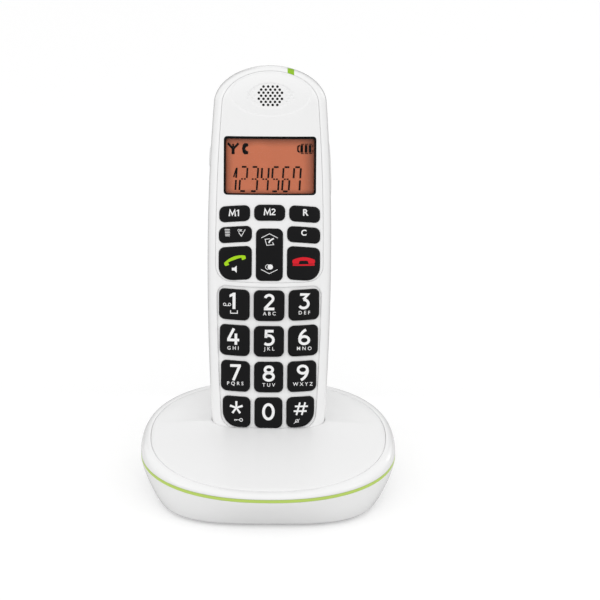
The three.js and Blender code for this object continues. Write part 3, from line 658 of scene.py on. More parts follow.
def lower_section(z):
    """Half width, half depth and squareness of the lower shell at a height."""
    share = min(1.0, max(0.0, (z - shell_bottom) / (trim_bottom - shell_bottom)))
    narrow = (1 - share) ** 1.5
    rounding = 1.6
    rise = min(rounding, z - shell_bottom)
    inset = rounding - math.sqrt(max(0.0, rounding**2 - (rounding - rise) ** 2))
    return (
        base_half_x - (base_half_x - sole_half_x) * narrow - inset,
        base_half_y - (base_half_y - sole_half_y) * narrow - inset,
        base_power + (sole_power - base_power) * narrow,
    )


def even_turn(s):
    """The turn round a loop at a share s of the way, in even steps of angle."""
    return 2 * math.pi * s


def lower_place(s, t):
    top = trim_bottom - seam
    if t < 0.12:
        half_x, half_y, power = lower_section(shell_bottom)
        x, y = loop_point(half_x * t / 0.12, half_y * t / 0.12, power, even_turn(s))
        return on_base(x, y, shell_bottom)
    if t < 0.85:
        share = (t - 0.12) / 0.73
        z = shell_bottom + (top - 0.25 - shell_bottom) * share**1.5
        x, y = loop_point(*lower_section(z), even_turn(s))
        return on_base(x, y, z)
    share = (t - 0.85) / 0.15
    half_x, half_y, power = lower_section(top)
    if share < 0.5:
        turn = share / 0.5 * math.pi / 2
        inset, z = 0.25 * (1 - math.cos(turn)), top - 0.25 + 0.25 * math.sin(turn)
    else:
        inset, z = 0.25 + (share - 0.5) / 0.5 * 2.0, top
    x, y = loop_point(half_x - inset, half_y - inset, power, even_turn(s))
    return on_base(x, y, z)


def inner_floor(s, t):
    """The lower shell's inner wall and floor."""
    top = trim_bottom - seam
    if t < 0.8:
        share = 1 - t / 0.8
        z = shell_bottom + 2 + (top - shell_bottom - 2) * share
        a, b, p = lower_section(z)
        x, y = loop_point(a - 2.25, b - 2.25, p, even_turn(s))
        return on_base(x, y, z)
    share = (1 - t) / 0.2
    a, b, p = lower_section(shell_bottom + 2)
    x, y = loop_point((a - 2.25) * share, (b - 2.25) * share, p, even_turn(s))
    return on_base(x, y, shell_bottom + 2)


def cut_away(piece, cutters):
    """Cuts closed shapes out of a piece."""
    for cutter in cutters:
        change = piece.modifiers.new("cut", "BOOLEAN")
        change.operation = "DIFFERENCE"
        change.solver = "EXACT"
        change.object = cutter
    bpy.context.view_layer.update()
    made = bpy.data.meshes.new_from_object(piece.evaluated_get(bpy.context.evaluated_depsgraph_get()))
    piece.modifiers.clear()
    piece.data = made
    for cutter in cutters:
        bpy.data.objects.remove(cutter)


def cutter_of(bm):
    mesh = bpy.data.meshes.new("cutter")
    bmesh.ops.recalc_face_normals(bm, faces=bm.faces)
    bm.to_mesh(mesh)
    bm.free()
    made = bpy.data.objects.new("cutter", mesh)
    bpy.context.scene.collection.objects.link(made)
    return made


def box_cutter(low, high, round_edges=0.0):
    bm = bmesh.new()
    middle = (Vector(low) + Vector(high)) / 2
    size = Vector(high) - Vector(low)
    bmesh.ops.create_cube(bm, size=1, matrix=Matrix.Translation(middle) @ Matrix.Diagonal((*size, 1)))
    if round_edges:
        bmesh.ops.bevel(
            bm, geom=bm.edges[:], offset=round_edges, segments=3, affect="EDGES", profile=0.5, material=-1
        )
    return cutter_of(bm)


def rod_cutter(start, end, radius, sides=48):
    bm = bmesh.new()
    line = Vector(end) - Vector(start)
    turn = line.to_track_quat("Z", "Y").to_matrix().to_4x4()
    matrix = Matrix.Translation((Vector(start) + Vector(end)) / 2) @ turn
    bmesh.ops.create_cone(
        bm, cap_ends=True, segments=sides, radius1=radius, radius2=radius, depth=line.length, matrix=matrix
    )
    return cutter_of(bm)


def grown(node, by, y_to=None):
    """A cutter round a CAD node, larger by a gap and open towards the back."""
    low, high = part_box(node)
    low, high = low - Vector((by, by, by)) * MM, high + Vector((by, by, by)) * MM
    if y_to is not None:
        high.y = y_to * MM
    return box_cutter(low, high)


def lower_shell():
    bm = bmesh.new()
    sheet_of(bm, 160, 60, lower_place)
    sheet_of(bm, 160, 24, inner_floor)
    piece = finished(
        "base_lower_shell_skin", bm, white_shell, "base", ["base_lower_shell"]
    )
    page_low, page_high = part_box("page_button")
    page = (page_low + page_high) / 2
    radius = (page_high.x - page_low.x) / 2
    cutters = [grown("line_socket", 0.3, 60), grown("power_socket", 0.3, 60)]
    cutters.append(
        rod_cutter(page - Vector((0, 0.006, 0)), page + Vector((0, 0.02, 0)), radius + 0.35 * MM)
    )
    for node in ("base_screw_left", "base_screw_right"):
        low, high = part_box(node)
        middle = (low + high) / 2
        cutters.append(
            rod_cutter((middle.x, middle.y, -0.001), (middle.x, middle.y, low.z + 1.9 * MM), 3.0 * MM)
        )
    for node in ("foot_front_left", "foot_front_right", "foot_rear_left", "foot_rear_right"):
        low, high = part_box(node)
        middle = (low + high) / 2
        cutters.append(
            rod_cutter((middle.x, middle.y, -0.001), (middle.x, middle.y, high.z + 0.1 * MM), 5.25 * MM)
        )
    cut_away(piece, cutters)
    ease(piece)
    return piece


def ease(piece, width=0.25, angle=40):
    """A small rounded edge wherever two faces meet sharply."""
    made = piece.modifiers.new("eased_edges", "BEVEL")
    made.width = width * MM
    made.segments = 2
    made.limit_method = "ANGLE"
    made.angle_limit = math.radians(angle)
    made.harden_normals = False


def trim_ring():
    bm = bmesh.new()

    def place(s, t):
        turn = 2 * math.pi * t
        bulge = math.cos(turn)
        out = 0.06 * bulge if bulge > 0 else 2.2 * bulge
        middle, half = (trim_bottom + trim_top) / 2 + 0.04, (trim_top - trim_bottom) / 2 + 0.12
        z = middle + half * max(-1, min(1, 1.6 * math.sin(turn)))
        x, y = loop_point(base_half_x - 0.06 + out, base_half_y - 0.06 + out, base_power, even_turn(s))
        return on_base(x, y, z)

    sheet_of(bm, 220, 24, place)
    return finished("base_trim_ring_skin", bm, trim_green, "base", ["base_trim_ring"])


def deck_loop(grow, turn):
    """A point of the deck's outline, which stands further in at the back."""
    a, b = base_half_x - rim_inset + grow, base_half_y - rim_inset + grow
    x, y = loop_point(a, b, base_power, turn)
    return x, y - rim_back * max(0.0, y / b) ** 2


def rim_place(s, t):
    turn = even_turn(s)
    low = trim_top + seam
    x0, y0 = loop_point(base_half_x, base_half_y, base_power, turn)
    x1, y1 = deck_loop(0.32, turn)
    top = deck_height(x1, y1) - 0.03
    if t < 0.1:  # the inner lip and its rounded lower edge
        share = t / 0.1
        if share < 0.6:
            inset, drop = 2.2 - 1.95 * share / 0.6, 0.0
        else:
            a = (share - 0.6) / 0.4 * math.pi / 2
            inset, drop = 0.25 * (1 - math.sin(a)), -0.25 * (1 - math.cos(a))
        x, y = loop_point(base_half_x - inset, base_half_y - inset, base_power, turn)
        return on_base(x, y, low - drop)
    if t < 0.85:
        a = (t - 0.1) / 0.75 * math.pi / 2
        square = 0.95 - 0.45 * smooth(y0 / base_half_y)
        k = 1 - math.cos(a) ** square
        z = low + 0.25 + (top - low - 0.25) * math.sin(a) ** square
        return on_base(x0 + (x1 - x0) * k, y0 + (y1 - y0) * k, z)
    share = (t - 0.85) / 0.15
    a = min(1.0, share / 0.5) * math.pi / 2
    x, y = deck_loop(0.32 - 0.4 * math.sin(a), turn)
    return on_base(x, y, top - 0.4 * (1 - math.cos(a)) - max(0.0, share - 0.5) * 2 * 1.4)


def rim_shell():
    bm = bmesh.new()
    sheet_of(bm, 220, 64, rim_place)
    piece = finished("base_rim_skin", bm, white_shell, "base", ["base_upper_shell"])
    return piece


crease_y = 7.9


def smooth(t):
    t = min(1.0, max(0.0, t))
    return t * t * (3 - 2 * t)


def deck_height(x, y):
    a, b = base_half_x - rim_inset, base_half_y - rim_inset
    share = ((abs(x) / a) ** base_power + (abs(y) / b) ** base_power) ** (1 / base_power)
    edge = trim_top + seam + (deck_front + deck_back) / 2 + (deck_back - deck_front) / 2 * y / b
    fade = 1 - smooth((share - 0.62) / 0.32)
    line = crease_y + 0.05 * max(0.0, abs(x) - 22)
    back_off = min(1.0, max(0.0, (y - line) / 13))
    scoop = 1.9 * (1 - (1 - back_off) ** 2) * fade
    return edge + deck_crown * max(0.0, 1 - share * share) - scoop


def deck_outline(grow):
    return [deck_loop(grow, 2 * math.pi * i / 220) for i in range(220)]


def section_point(turn, v, gap):
    """A point round the handset's cross-section at v, grown by a gap, in the handset's u and w."""
    front = math.sin(turn) >= 0
    power = 3 if front else 2.6
    c, s = loop_point(1, 1, power, turn)
    return c * (side(v) + gap), s * ((face_height if front else depth_at(v)) + gap)


def slot_at(turn, gap):
    """Where the handset's side, grown by a gap, meets the deck: the handset's v, and x and y on the base."""
    v = 14.0
    for _ in range(12):
        u, w = section_point(turn, v, gap)
        p = foot_point + across * u + along * v + outward * w
        wanted = deck_height(p.x, p.y - base_y)
        v += (wanted - p.z) / along.z
    u, w = section_point(turn, v, gap)
    p = foot_point + across * u + along * v + outward * w
    return v, p.x, p.y - base_y


def slot_outline(grow):
    return [slot_at(2 * math.pi * i / 140, slot_gap - grow)[1:] for i in range(140)][::-1]


def deck():
    bm = bmesh.new()
    edges = [
        (deck_outline, eased(-0.14, 0.5, 1.6)),
        (lambda g: slot_outline(-g), eased(0, 0.25, 0.25, hole=True)[:-1]),
    ]
    plate(bm, edges, deck_height, on_base, 1.7)

    def well(s, t):
        turn = 2 * math.pi * s
        v0, _, _ = slot_at(turn, slot_gap)
        top = v0 - 0.23
        if t < 0.6:
            v = top + (1.6 - top) * t / 0.6
            u, w = section_point(turn, max(v, 0), slot_gap)
        elif t < 0.85:
            a = (t - 0.6) / 0.25 * math.pi / 2
            v = 1.6 - 2.2 * math.sin(a)
            u, w = section_point(turn, 1.6, slot_gap - 2.2 * (1 - math.cos(a)))
        else:
            v = -0.6
            u, w = section_point(turn, 1.6, slot_gap - 2.2)
            share = 1 - (t - 0.85) / 0.15
            u, w = u * share, w * share
        return on_handset(u, v, w)

    sheet_of(bm, 140, 40, well)
    return finished("base_deck_skin", bm, white_deck, "base", ["base_deck"])


def page_button():
    low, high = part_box("page_button")
    middle = (low + high) / 2
    radius = (high.x - low.x) / 2
    bm = bmesh.new()

    def place(s, t):
        turn = 2 * math.pi * s
        if t < 0.5:
            r, y = radius * t / 0.5, high.y - 0.0004 * (t / 0.5) ** 2
            r = min(r, radius - 0.0004)
        elif t < 0.6:
            a = (t - 0.5) / 0.1 * math.pi / 2
            r, y = radius - 0.0004 * (1 - math.sin(a)), high.y - 0.0004 - 0.0004 * (1 - math.cos(a))
        elif t < 0.95:
            r, y = radius, high.y - 0.0008 - (high.y - low.y - 0.0008) * (t - 0.6) / 0.35
        else:
            r, y = radius * (1 - t) / 0.05, low.y
        return Vector((middle.x + r * math.cos(turn), y, middle.z + r * math.sin(turn)))

    sheet_of(bm, 64, 40, place)
    return finished("page_button_skin", bm, white_shell, "page_button", ["page_button"])


# ---- Handset shells ----
parting = 0.15
groove = 0.07


def front_shell():
    bm = bmesh.new()
    roll = [0.90, 0.925, 0.945, 0.962, 0.975, 0.985, 0.992, 0.996, 0.9983, 1.0]
    edges = [
        (handset_outline, [(r, 0) for r in roll]),
        (fascia_outline, eased(groove, 0.22, 0.7, hole=True)),
        (field_outline, eased(0, 0.4, 1.1, hole=True)),
    ]

    def height(u, v):
        return parting if spread(u, v) > 0.9991 else face(u, v)

    plate(bm, edges, height, on_handset, 1.6)
    field = [(field_outline, [(0.1, 0), (0.1, 0.6)])]
    for name in keys:
        if name in upper_keys:
            continue
        field.append((lambda g, n=name: key_outline(n, g), eased(opening_gap, 0.15, 2.0, hole=True)))
    plate(bm, field, lambda u, v: face(u, v) - field_depth, on_handset, 1.6)

    def ledge(s, t):
        points = ledge_inner if t > 0.5 else ledge_outer
        i = int(round(s * (len(points)))) % len(points)
        u, v = points[i]
        return on_handset(u, v, face(u, v) - 0.55)

    ledge_outer = fascia_outline(0.4)
    ledge_inner = fascia_outline(-0.6)
    sheet_of(bm, len(ledge_outer), 1, ledge)
    return finished(
        "handset_front_shell_skin", bm, white_shell, "handset", ["handset_front_shell"]
    )


upper_keys = (
    "key_m1", "key_m2", "key_recall", "key_menu", "key_clear", "key_talk", "key_navigation", "key_end"
)
ear_at = 149.45
ear_rows = (4, 5, 6, 5, 6, 5, 4)
ear_across = 1.9
ear_along = 1.25


def ear_spots():
    spots = []
    for i, count in enumerate(ear_rows):
        for j in range(count):
            spots.append(((j - (count - 1) / 2) * ear_across, ear_at + (3 - i) * ear_along))
    return spots


def blind_holes(u, v):
    """Faint dimples that carry the pattern of holes on to both sides."""
    depth = 0.0
    for row, column in ((0, 3), (0, 4), (1, 3.5), (1, 4.5), (-1, 3.5), (-1, 4.5), (2, 3), (-2, 3)):
        reach = math.hypot(abs(u) - (column + 0.5) * ear_across + 0.1, v - ear_at - row * ear_along)
        depth += 0.22 * smooth(1 - reach / 0.66)
    return depth


def dish(u, v):
    """The shallow dish round the earpiece, with a second step inside it."""
    outer = math.hypot(u / 16.5, (v - ear_at - 0.6) / 8.9)
    inner = math.hypot(u / 9.1, (v - ear_at) / 5.25)
    depth = 0.3 * smooth((1.02 - outer) / 0.045) * (0.6 + 0.4 * min(1.0, outer))
    return depth + 0.26 * smooth((1.02 - inner) / 0.06) * (0.5 + 0.5 * min(1.0, inner)) + blind_holes(u, v)


def fascia_height(u, v):
    return face(u, v) - dish(u, v)


def fascia():
    bm = bmesh.new()
    edges = [
        (fascia_outline, eased(0, 0.22, 0.5)),
        (window_outline, eased(0, 0.12, 1.0, hole=True)),
    ]
    for name in upper_keys:
        edges.append((lambda g, n=name: opening_outline(n, g), eased(opening_gap, 0.15, 2.0, hole=True)))
    for x, y in ear_spots():
        edges.append(
            (
                lambda g, a=x, b=y: arc(a, b, 0.55 + g, 0, 2 * math.pi * 11 / 12, 12),
                [(0.06, 0), (0.02, 0.03), (0, 0.1), (0, 0.8)],
            )
        )
    plate(bm, edges, fascia_height, on_handset, 0.95, fine=((-17.6, 139.6), (17.6, 160.2), 0.38))
    return finished("handset_fascia_skin", bm, white_shell, "handset", ["handset_fascia"])


def ear_mesh():
    """The dark cloth under the earpiece's holes."""
    bm = bmesh.new()

    def place(s, t):
        u, v = (s - 0.5) * 13, ear_at + (t - 0.5) * 10
        return on_handset(u, v, fascia_height(u, v) - 0.95)

    sheet_of(bm, 12, 10, place)
    return finished("earpiece_cloth", bm, hole_dark, "handset")


cover_low, cover_high = 30.6, 86.9
cover_half = 14.0


def cover_outline(grow):
    width = 2 * (cover_half + grow)
    height = cover_high - cover_low + 2 * grow
    return dense(rounded(0, (cover_low + cover_high) / 2, width, height, [3 + grow] * 4, 8), 1.6)


def grille_outline(v, grow):
    return dense(rounded(0, v, 13 + 2 * grow, 1.3 + 2 * grow, [0.6 + grow] * 4, 6), 1.5)


def rear_shell():
    bm = bmesh.new()
    roll = [0.88, 0.91, 0.935, 0.955, 0.97, 0.982, 0.99, 0.9955, 0.9983, 1.0]
    edges = [(handset_outline, [(r, 0) for r in roll]), (cover_outline, eased(0.2, 0.2, 1.8, hole=True))]
    for i in range(5):
        edges.append((lambda g, v=118 + 3 * i: grille_outline(v, g), eased(0, 0.25, 1.6, hole=True)))
    for x in (-18.4, 18.4):
        edges.append(
            (lambda g, a=x: arc(a, 142, 2.2 + g, 0, 2 * math.pi * 23 / 24, 24), eased(0, 0.3, 6, hole=True))
        )

    def height(u, v):
        return parting if spread(u, v) > 0.9991 else -back(u, v)

    plate(bm, edges, height, lambda u, v, w: on_handset(u, v, -w), 1.8)
    return finished(
        "handset_rear_shell_skin", bm, white_shell, "handset", ["handset_rear_shell"]
    )


def parting_lip():
    """The tongue inside the joint of the two shells, which closes the gap between them."""
    bm = bmesh.new()
    outer = handset_outline(0.986)
    inner = handset_outline(0.955)

    def place(s, t):
        i = round(s * len(outer)) % len(outer)
        turn = 2 * math.pi * t
        k = 0.5 + 0.5 * math.cos(turn)
        u, v = (outer[i][n] * k + inner[i][n] * (1 - k) for n in (0, 1))
        return on_handset(u, v, 0.9 * math.sin(turn))

    sheet_of(bm, len(outer), 10, place)
    return finished("handset_parting_lip", bm, white_shell, "handset")


def battery_cover():
    bm = bmesh.new()

    def height(u, v):
        ribs = 0.0
        for i in range(4):
            ribs += 0.28 * smooth(1 - abs(v - (78 + 2.2 * i)) / 0.7) * smooth((8.5 - abs(u)) / 1.2)
        return -back(u, v) - ribs

    plate(
        bm,
        [(cover_outline, eased(0, 0.25, 1.6))],
        height,
        lambda u, v, w: on_handset(u, v, -w),
        0.7,
        floor=1.6,
    )
    return finished(
        "battery_cover_skin", bm, white_shell, "battery_cover", ["battery_cover"]
    )


def side_button(name, sign, middle, length):
    """A long soft-edged button that wraps the handset's side."""
    bm = bmesh.new()

    def place(s, t):
        turn = 2 * math.pi * s
        ring = min(1.0, t / 0.7)
        if t < 0.7:
            rise = 0.8 * math.sqrt(max(0.0, 1 - ring**3)) - 0.25
        else:
            rise = -0.25 - (t - 0.7) / 0.3 * 1.6
        x, y = loop_point(length / 2 * ring, 2.1 * ring, 5, turn)
        v = middle + x
        w = -3.2 + y
        reach = side(v) * max(0.0, 1 - (max(0.0, -w) / depth_at(v)) ** 2.6) ** (1 / 2.6)
        return on_handset(sign * (reach + rise), v, w)

    sheet_of(bm, 96, 24, place)
    return finished(name + "_skin", bm, white_shell, name, [name])


def light_pipe():
    bm = bmesh.new()
    half = 1.42
    middle = 8.35

    def place(s, t):
        u = middle + (s - 0.5) * 2 * half
        top = shoulder_at + crown_length * math.sqrt(max(0.0, 1 - (u / shoulder_half) ** 2))
        low = shoulder_at + (crown_length - fascia_top_inset + groove) * math.sqrt(
            max(0.0, 1 - (u / (shoulder_half - fascia_inset)) ** 2)
        )
        v = low + (top - low) * t
        w = face(u, v) + 0.10 * smooth(min(s, 1 - s) / 0.08) * smooth(min(t, 1.02 - t) / 0.06) - 0.04
        return on_handset(u, v, max(parting, w))

    sheet_of(bm, 24, 40, place)
    return finished(
        "indicator_light_pipe_skin", bm, pipe_green, "handset", ["indicator_light_pipe"]
    )


# ---- Keys ----
def key_height(name, u, v):
    """A key's top: it follows the face and stands a little proud, with a gentle dome."""
    ku, kv, width, height, bow = keys[name]
    a = (u - ku) / (width / 2)
    b = (v - kv - bow * u * u) / (height / 2)
    base = face(u, v)
    proud = 0.75 if name in upper_keys else 0.6
    return base + proud + 0.22 * (1 - max(abs(a), abs(b)) ** 2.5) - 0.12


def key_cap(name):
    bm = bmesh.new()
    rings = eased(0, 0.55, 3.0, count=5)
    plate(
        bm,
        [(lambda g: key_outline(name, g), rings)],
        lambda u, v: key_height(name, u, v),
        on_handset,
        1.3,
        floor=3.0,
    )
    return finished(name + "_cap", bm, key_black, name, [name])


# ---- Legends ----
def lettering(text, size, weight=0.0, spacing=1.0):
    """Flat text as a shape with its middle at the origin; size is the height of its capitals."""
    curve = bpy.data.curves.new("lettering", "FONT")
    curve.body = text
    curve.size = size / 0.73
    curve.offset = weight
    curve.space_character = spacing
    curve.resolution_u = 6
    holder = bpy.data.objects.new("lettering", curve)
    bpy.context.scene.collection.objects.link(holder)
    bpy.context.view_layer.update()
    mesh = bpy.data.meshes.new_from_object(holder.evaluated_get(bpy.context.evaluated_depsgraph_get()))
    bpy.data.objects.remove(holder)
    bpy.data.curves.remove(curve)
    part = bmesh.new()
    part.from_mesh(mesh)
    bpy.data.meshes.remove(mesh)
    xs = [v.co.x for v in part.verts]
    ys = [v.co.y for v in part.verts]
    middle = Vector(((min(xs) + max(xs)) / 2, (min(ys) + max(ys)) / 2, 0))
    bmesh.ops.translate(part, verts=part.verts, vec=-middle)
    return part


def stroke(points, width, closed=False):
    """A flat line of even width through points, with square ends."""
    part = bmesh.new()
    pts = [Vector(p).to_3d() for p in points]
    n = len(pts)
    lefts, rights = [], []
    for i, p in enumerate(pts):
        before = pts[i - 1] if i or closed else p
        after = pts[(i + 1) % n] if i < n - 1 or closed else p
        d1 = (p - before).normalized() if (p - before).length > 1e-9 else (after - p).normalized()
        d2 = (after - p).normalized() if (after - p).length > 1e-9 else d1
        d = (d1 + d2).normalized()
        normal = Vector((-d.y, d.x, 0))
        reach = width / 2 / max(0.5, normal.dot(Vector((-d1.y, d1.x, 0))))
        lefts.append(part.verts.new(p + normal * reach))
        rights.append(part.verts.new(p - normal * reach))
    for i in range(n if closed else n - 1):
        j = (i + 1) % n
        part.faces.new((rights[i], rights[j], lefts[j], lefts[i]))
    return part


def filled(points):
    part = bmesh.new()
    part.faces.new([part.verts.new((x, y, 0)) for x, y in points])
    return part


def circle(x, y, radius, count):
    turns = [2 * math.pi * i / count for i in range(count)]
    return [(x + radius * math.cos(a), y + radius * math.sin(a)) for a in turns]


def disc(x, y, radius, count=20):
    return filled(circle(x, y, radius, count))


def ring(x, y, radius, width, count=20):
    return stroke(circle(x, y, radius, count), width, True)


def moved(part, x, y, turn=0.0):
    bmesh.ops.transform(
        part, matrix=Matrix.Translation((x, y, 0)) @ Matrix.Rotation(turn, 4, "Z"), verts=part.verts
    )
    return part


def print_on(name, parts, height, body, material, thick=0.03):
    """Lays flat parts on a curved top as thin print."""
    bm = bmesh.new()
    for i, part in enumerate(parts):
        bmesh.ops.triangulate(part, faces=part.faces)
        bmesh.ops.translate(part, verts=part.verts, vec=(0, 0, 0.003 * i))
        merge(bm, part)
    for f in bm.faces:
        f.normal_update()
        if f.normal.z < 0:
            f.normal_flip()
    xs = [v.co.x for v in bm.verts]
    ys = [v.co.y for v in bm.verts]
    cut_lines(bm, 0.8, (min(xs), min(ys)), (max(xs), max(ys)))
    made = bmesh.ops.extrude_face_region(bm, geom=bm.faces[:])
    for v in (g for g in made["geom"] if isinstance(g, bmesh.types.BMVert)):
        v.co.z += thick
    for v in bm.verts:
        v.co = on_handset(v.co.x, v.co.y, height(v.co.x, v.co.y) + v.co.z - 0.01)
    return finished(name, bm, material, body)


def print_on_key(name, key, parts, ink):
    return print_on(name, parts, lambda a, b: key_height(key, a, b), key, ink)


def bend(x, y, rx, ry, start, end, count=14):
    """Points along an ellipse from one angle to another, in degrees."""
    turns = [math.radians(start + (end - start) * i / (count - 1)) for i in range(count)]
    return [(x + rx * math.cos(a), y + ry * math.sin(a)) for a in turns]


numeral_weight = 1.12
numeral_lines = {
    "2": ([*bend(-0.1, 1.45, 1.65, 1.47, 168, -42), (-1.9, -2.75)], [(-2.25, -2.86), (2.1, -2.86)]),
    "3": ([(-1.85, 2.84), (1.45, 2.84), (-0.45, 0.72)], bend(-0.35, -1.08, 2.0, 1.8, 92, -148)),
    "4": ([(0.25, 3.42), (-2.05, -1.1)], [(-2.55, -1.42), (2.5, -1.42)], [(1.1, 1.3), (1.1, -3.42)]),
    "5": (
        [(1.85, 2.84), (-1.3, 2.84)], [(-1.2, 3.4), (-1.38, 0.0)], bend(-0.35, -0.93, 2.15, 1.93, 128, -136)
    ),
    "6": (bend(2.45, -1.35, 4.45, 4.75, 112, 176, 10), bend(0.05, -1.32, 1.93, 1.55, 0, 345, 24)),
    "7": ([(-2.2, 2.84), (2.3, 2.84)], [(1.85, 2.9), (-0.85, -3.42)]),
    "8": (bend(0, 1.62, 1.6, 1.26, 0, 345, 24), bend(0, -1.3, 2.0, 1.56, 0, 345, 24)),
    "9": (bend(-2.45, 1.35, 4.45, 4.75, -68, -4, 10), bend(-0.05, 1.32, 1.93, 1.55, 0, 345, 24)),
    "0": (bend(0, 0, 1.98, 2.95, 0, 352.5, 48),),
    "M": ([(-1.1, -1.25), (-0.85, 1.05), (0, -0.75), (0.85, 1.05), (1.1, -1.25)],),
}


def figure(text, height=6.85):
    """A numeral, or an M, drawn in strokes of even weight round the origin."""
    if text == "1":
        part = filled(
            [
                (0.66, -3.42),
                (0.66, 3.42),
                (-0.3, 3.42),
                (-1.85, 2.5),
                (-1.85, 1.5),
                (-0.56, 2.0),
                (-0.56, -3.42),
            ]
        )
    elif text == "#":
        part = bmesh.new()
        for x in (-1.1, 1.1):
            merge(part, stroke([(x - 0.7, -2.65), (x + 0.7, 2.65)], 0.7))
        for y in (-1.0, 1.0):
            merge(part, stroke([(-2.7 + y * 0.25, y), (2.7 + y * 0.25, y)], 0.7))
        return part
    elif text == "*":
        part = bmesh.new()
        for i in range(5):
            merge(
                part,
                moved(
                    filled([(-0.34, 0), (-0.46, 2.75), (0.46, 2.75), (0.34, 0)]), 0, 0, math.pi * 2 * i / 5
                ),
            )
        return part
    else:
        part = bmesh.new()
        weight = numeral_weight * (0.46 if text == "M" else 1)
        for line in numeral_lines[text]:
            loop = len(line) > 20
            merge(part, stroke(line, weight, closed=loop))
    factor = height / 6.84 if text != "M" else height / 2.5
    bmesh.ops.scale(part, vec=(factor, factor, 1), verts=part.verts)
    return part


def digit_parts(name, text, letters, shift):
    u, v, _, _, bow = keys[name]
    v += bow * u * u
    size = 7.0 if text == "0" else 6.75
    lift_up = {"0": 0.55, "*": 1.75, "#": 1.5}.get(text, 1.65)
    parts = [moved(figure(text, size), u + shift, v + lift_up)]
    if letters:
        small = lettering(letters, 1.5, 0.02, 1.65)
        parts.append(moved(small, u + shift * 1.15, v - 3.1))
    return parts


def key_legends():
    texts = {
        "key_1": ("1", "", -0.15), "key_2": ("2", "ABC", 0.1), "key_3": ("3", "DEF", 0.2),
        "key_4": ("4", "GHI", -0.6), "key_5": ("5", "JKL", 0.1), "key_6": ("6", "MNO", 0.45),
        "key_7": ("7", "PQRS", -0.05), "key_8": ("8", "TUV", 0.05), "key_9": ("9", "WXYZ", 0.4),
        "key_star": ("*", "", -0.1), "key_0": ("0", "", 0.0), "key_hash": ("#", "", 0.2),
    }
    for name, (text, letters, shift) in texts.items():
        parts = digit_parts(name, text, letters, shift)
        u, v, _, _, bow = keys[name]
        v += bow * u * u
        if name == "key_1":
            parts += [ring(u - 4.0, v + 0.1, 0.52, 0.24), ring(u - 1.95, v + 0.1, 0.52, 0.24)]
            parts.append(stroke([(u - 4.0, v - 0.42), (u - 1.95, v - 0.42)], 0.24))
            parts.append(
                stroke(
                    [(u - 1.5, v - 2.3), (u - 1.5, v - 3.5), (u + 1.3, v - 3.5), (u + 1.3, v - 2.3)], 0.34
                )
            )
        if name == "key_star":
            parts += [
                ring(u + 1.9, v - 3.3, 0.6, 0.26), stroke([(u + 1.3, v - 3.3), (u - 0.9, v - 3.2)], 0.26)
            ]
            parts += [
                stroke([(u - 0.75, v - 3.2), (u - 0.75, v - 3.75)], 0.22),
                stroke([(u - 0.15, v - 3.2), (u - 0.15, v - 3.75)], 0.22),
            ]
        if name == "key_hash":
            parts.append(stroke([(u - 2.6, v - 4.7), (u - 0.2, v - 2.75)], 0.2))
            parts.append(
                stroke(
                    [
                        (u - 2.1, v - 4.1),
                        (u - 1.8, v - 3.2),
                        (u - 1.3, v - 2.95),
                        (u - 0.85, v - 3.2),
                        (u - 0.75, v - 4.1),
                        (u - 2.1, v - 4.1),
                    ],
                    0.22,
                )
            )
        print_on_key(name + "_legend", name, parts, legend_white)


def handset_sign(width, rise, thick, opening=(0.56, 0.6)):
    """A telephone handset drawn flat: an arched grip over two cups, with a flat-topped gap between them."""
    half = width / 2
    grip = [(half * t, rise * (1 - t * t)) for t in (i / 8 - 1 for i in range(17))]
    top, low = rise - thick, rise - thick * 1.9
    wide, narrow = half * opening[1], half * opening[0] * 0.75
    rounded_top = [(narrow, top - 0.15), (narrow * 0.6, top), (-narrow * 0.6, top), (-narrow, top - 0.15)]
    cups_right = [(half + 0.1, low * 0.55), (half * 0.96, low), (wide, low)]
    cups_left = [(-x, y) for x, y in reversed(cups_right)]
    return filled(grip + cups_right + rounded_top + cups_left)


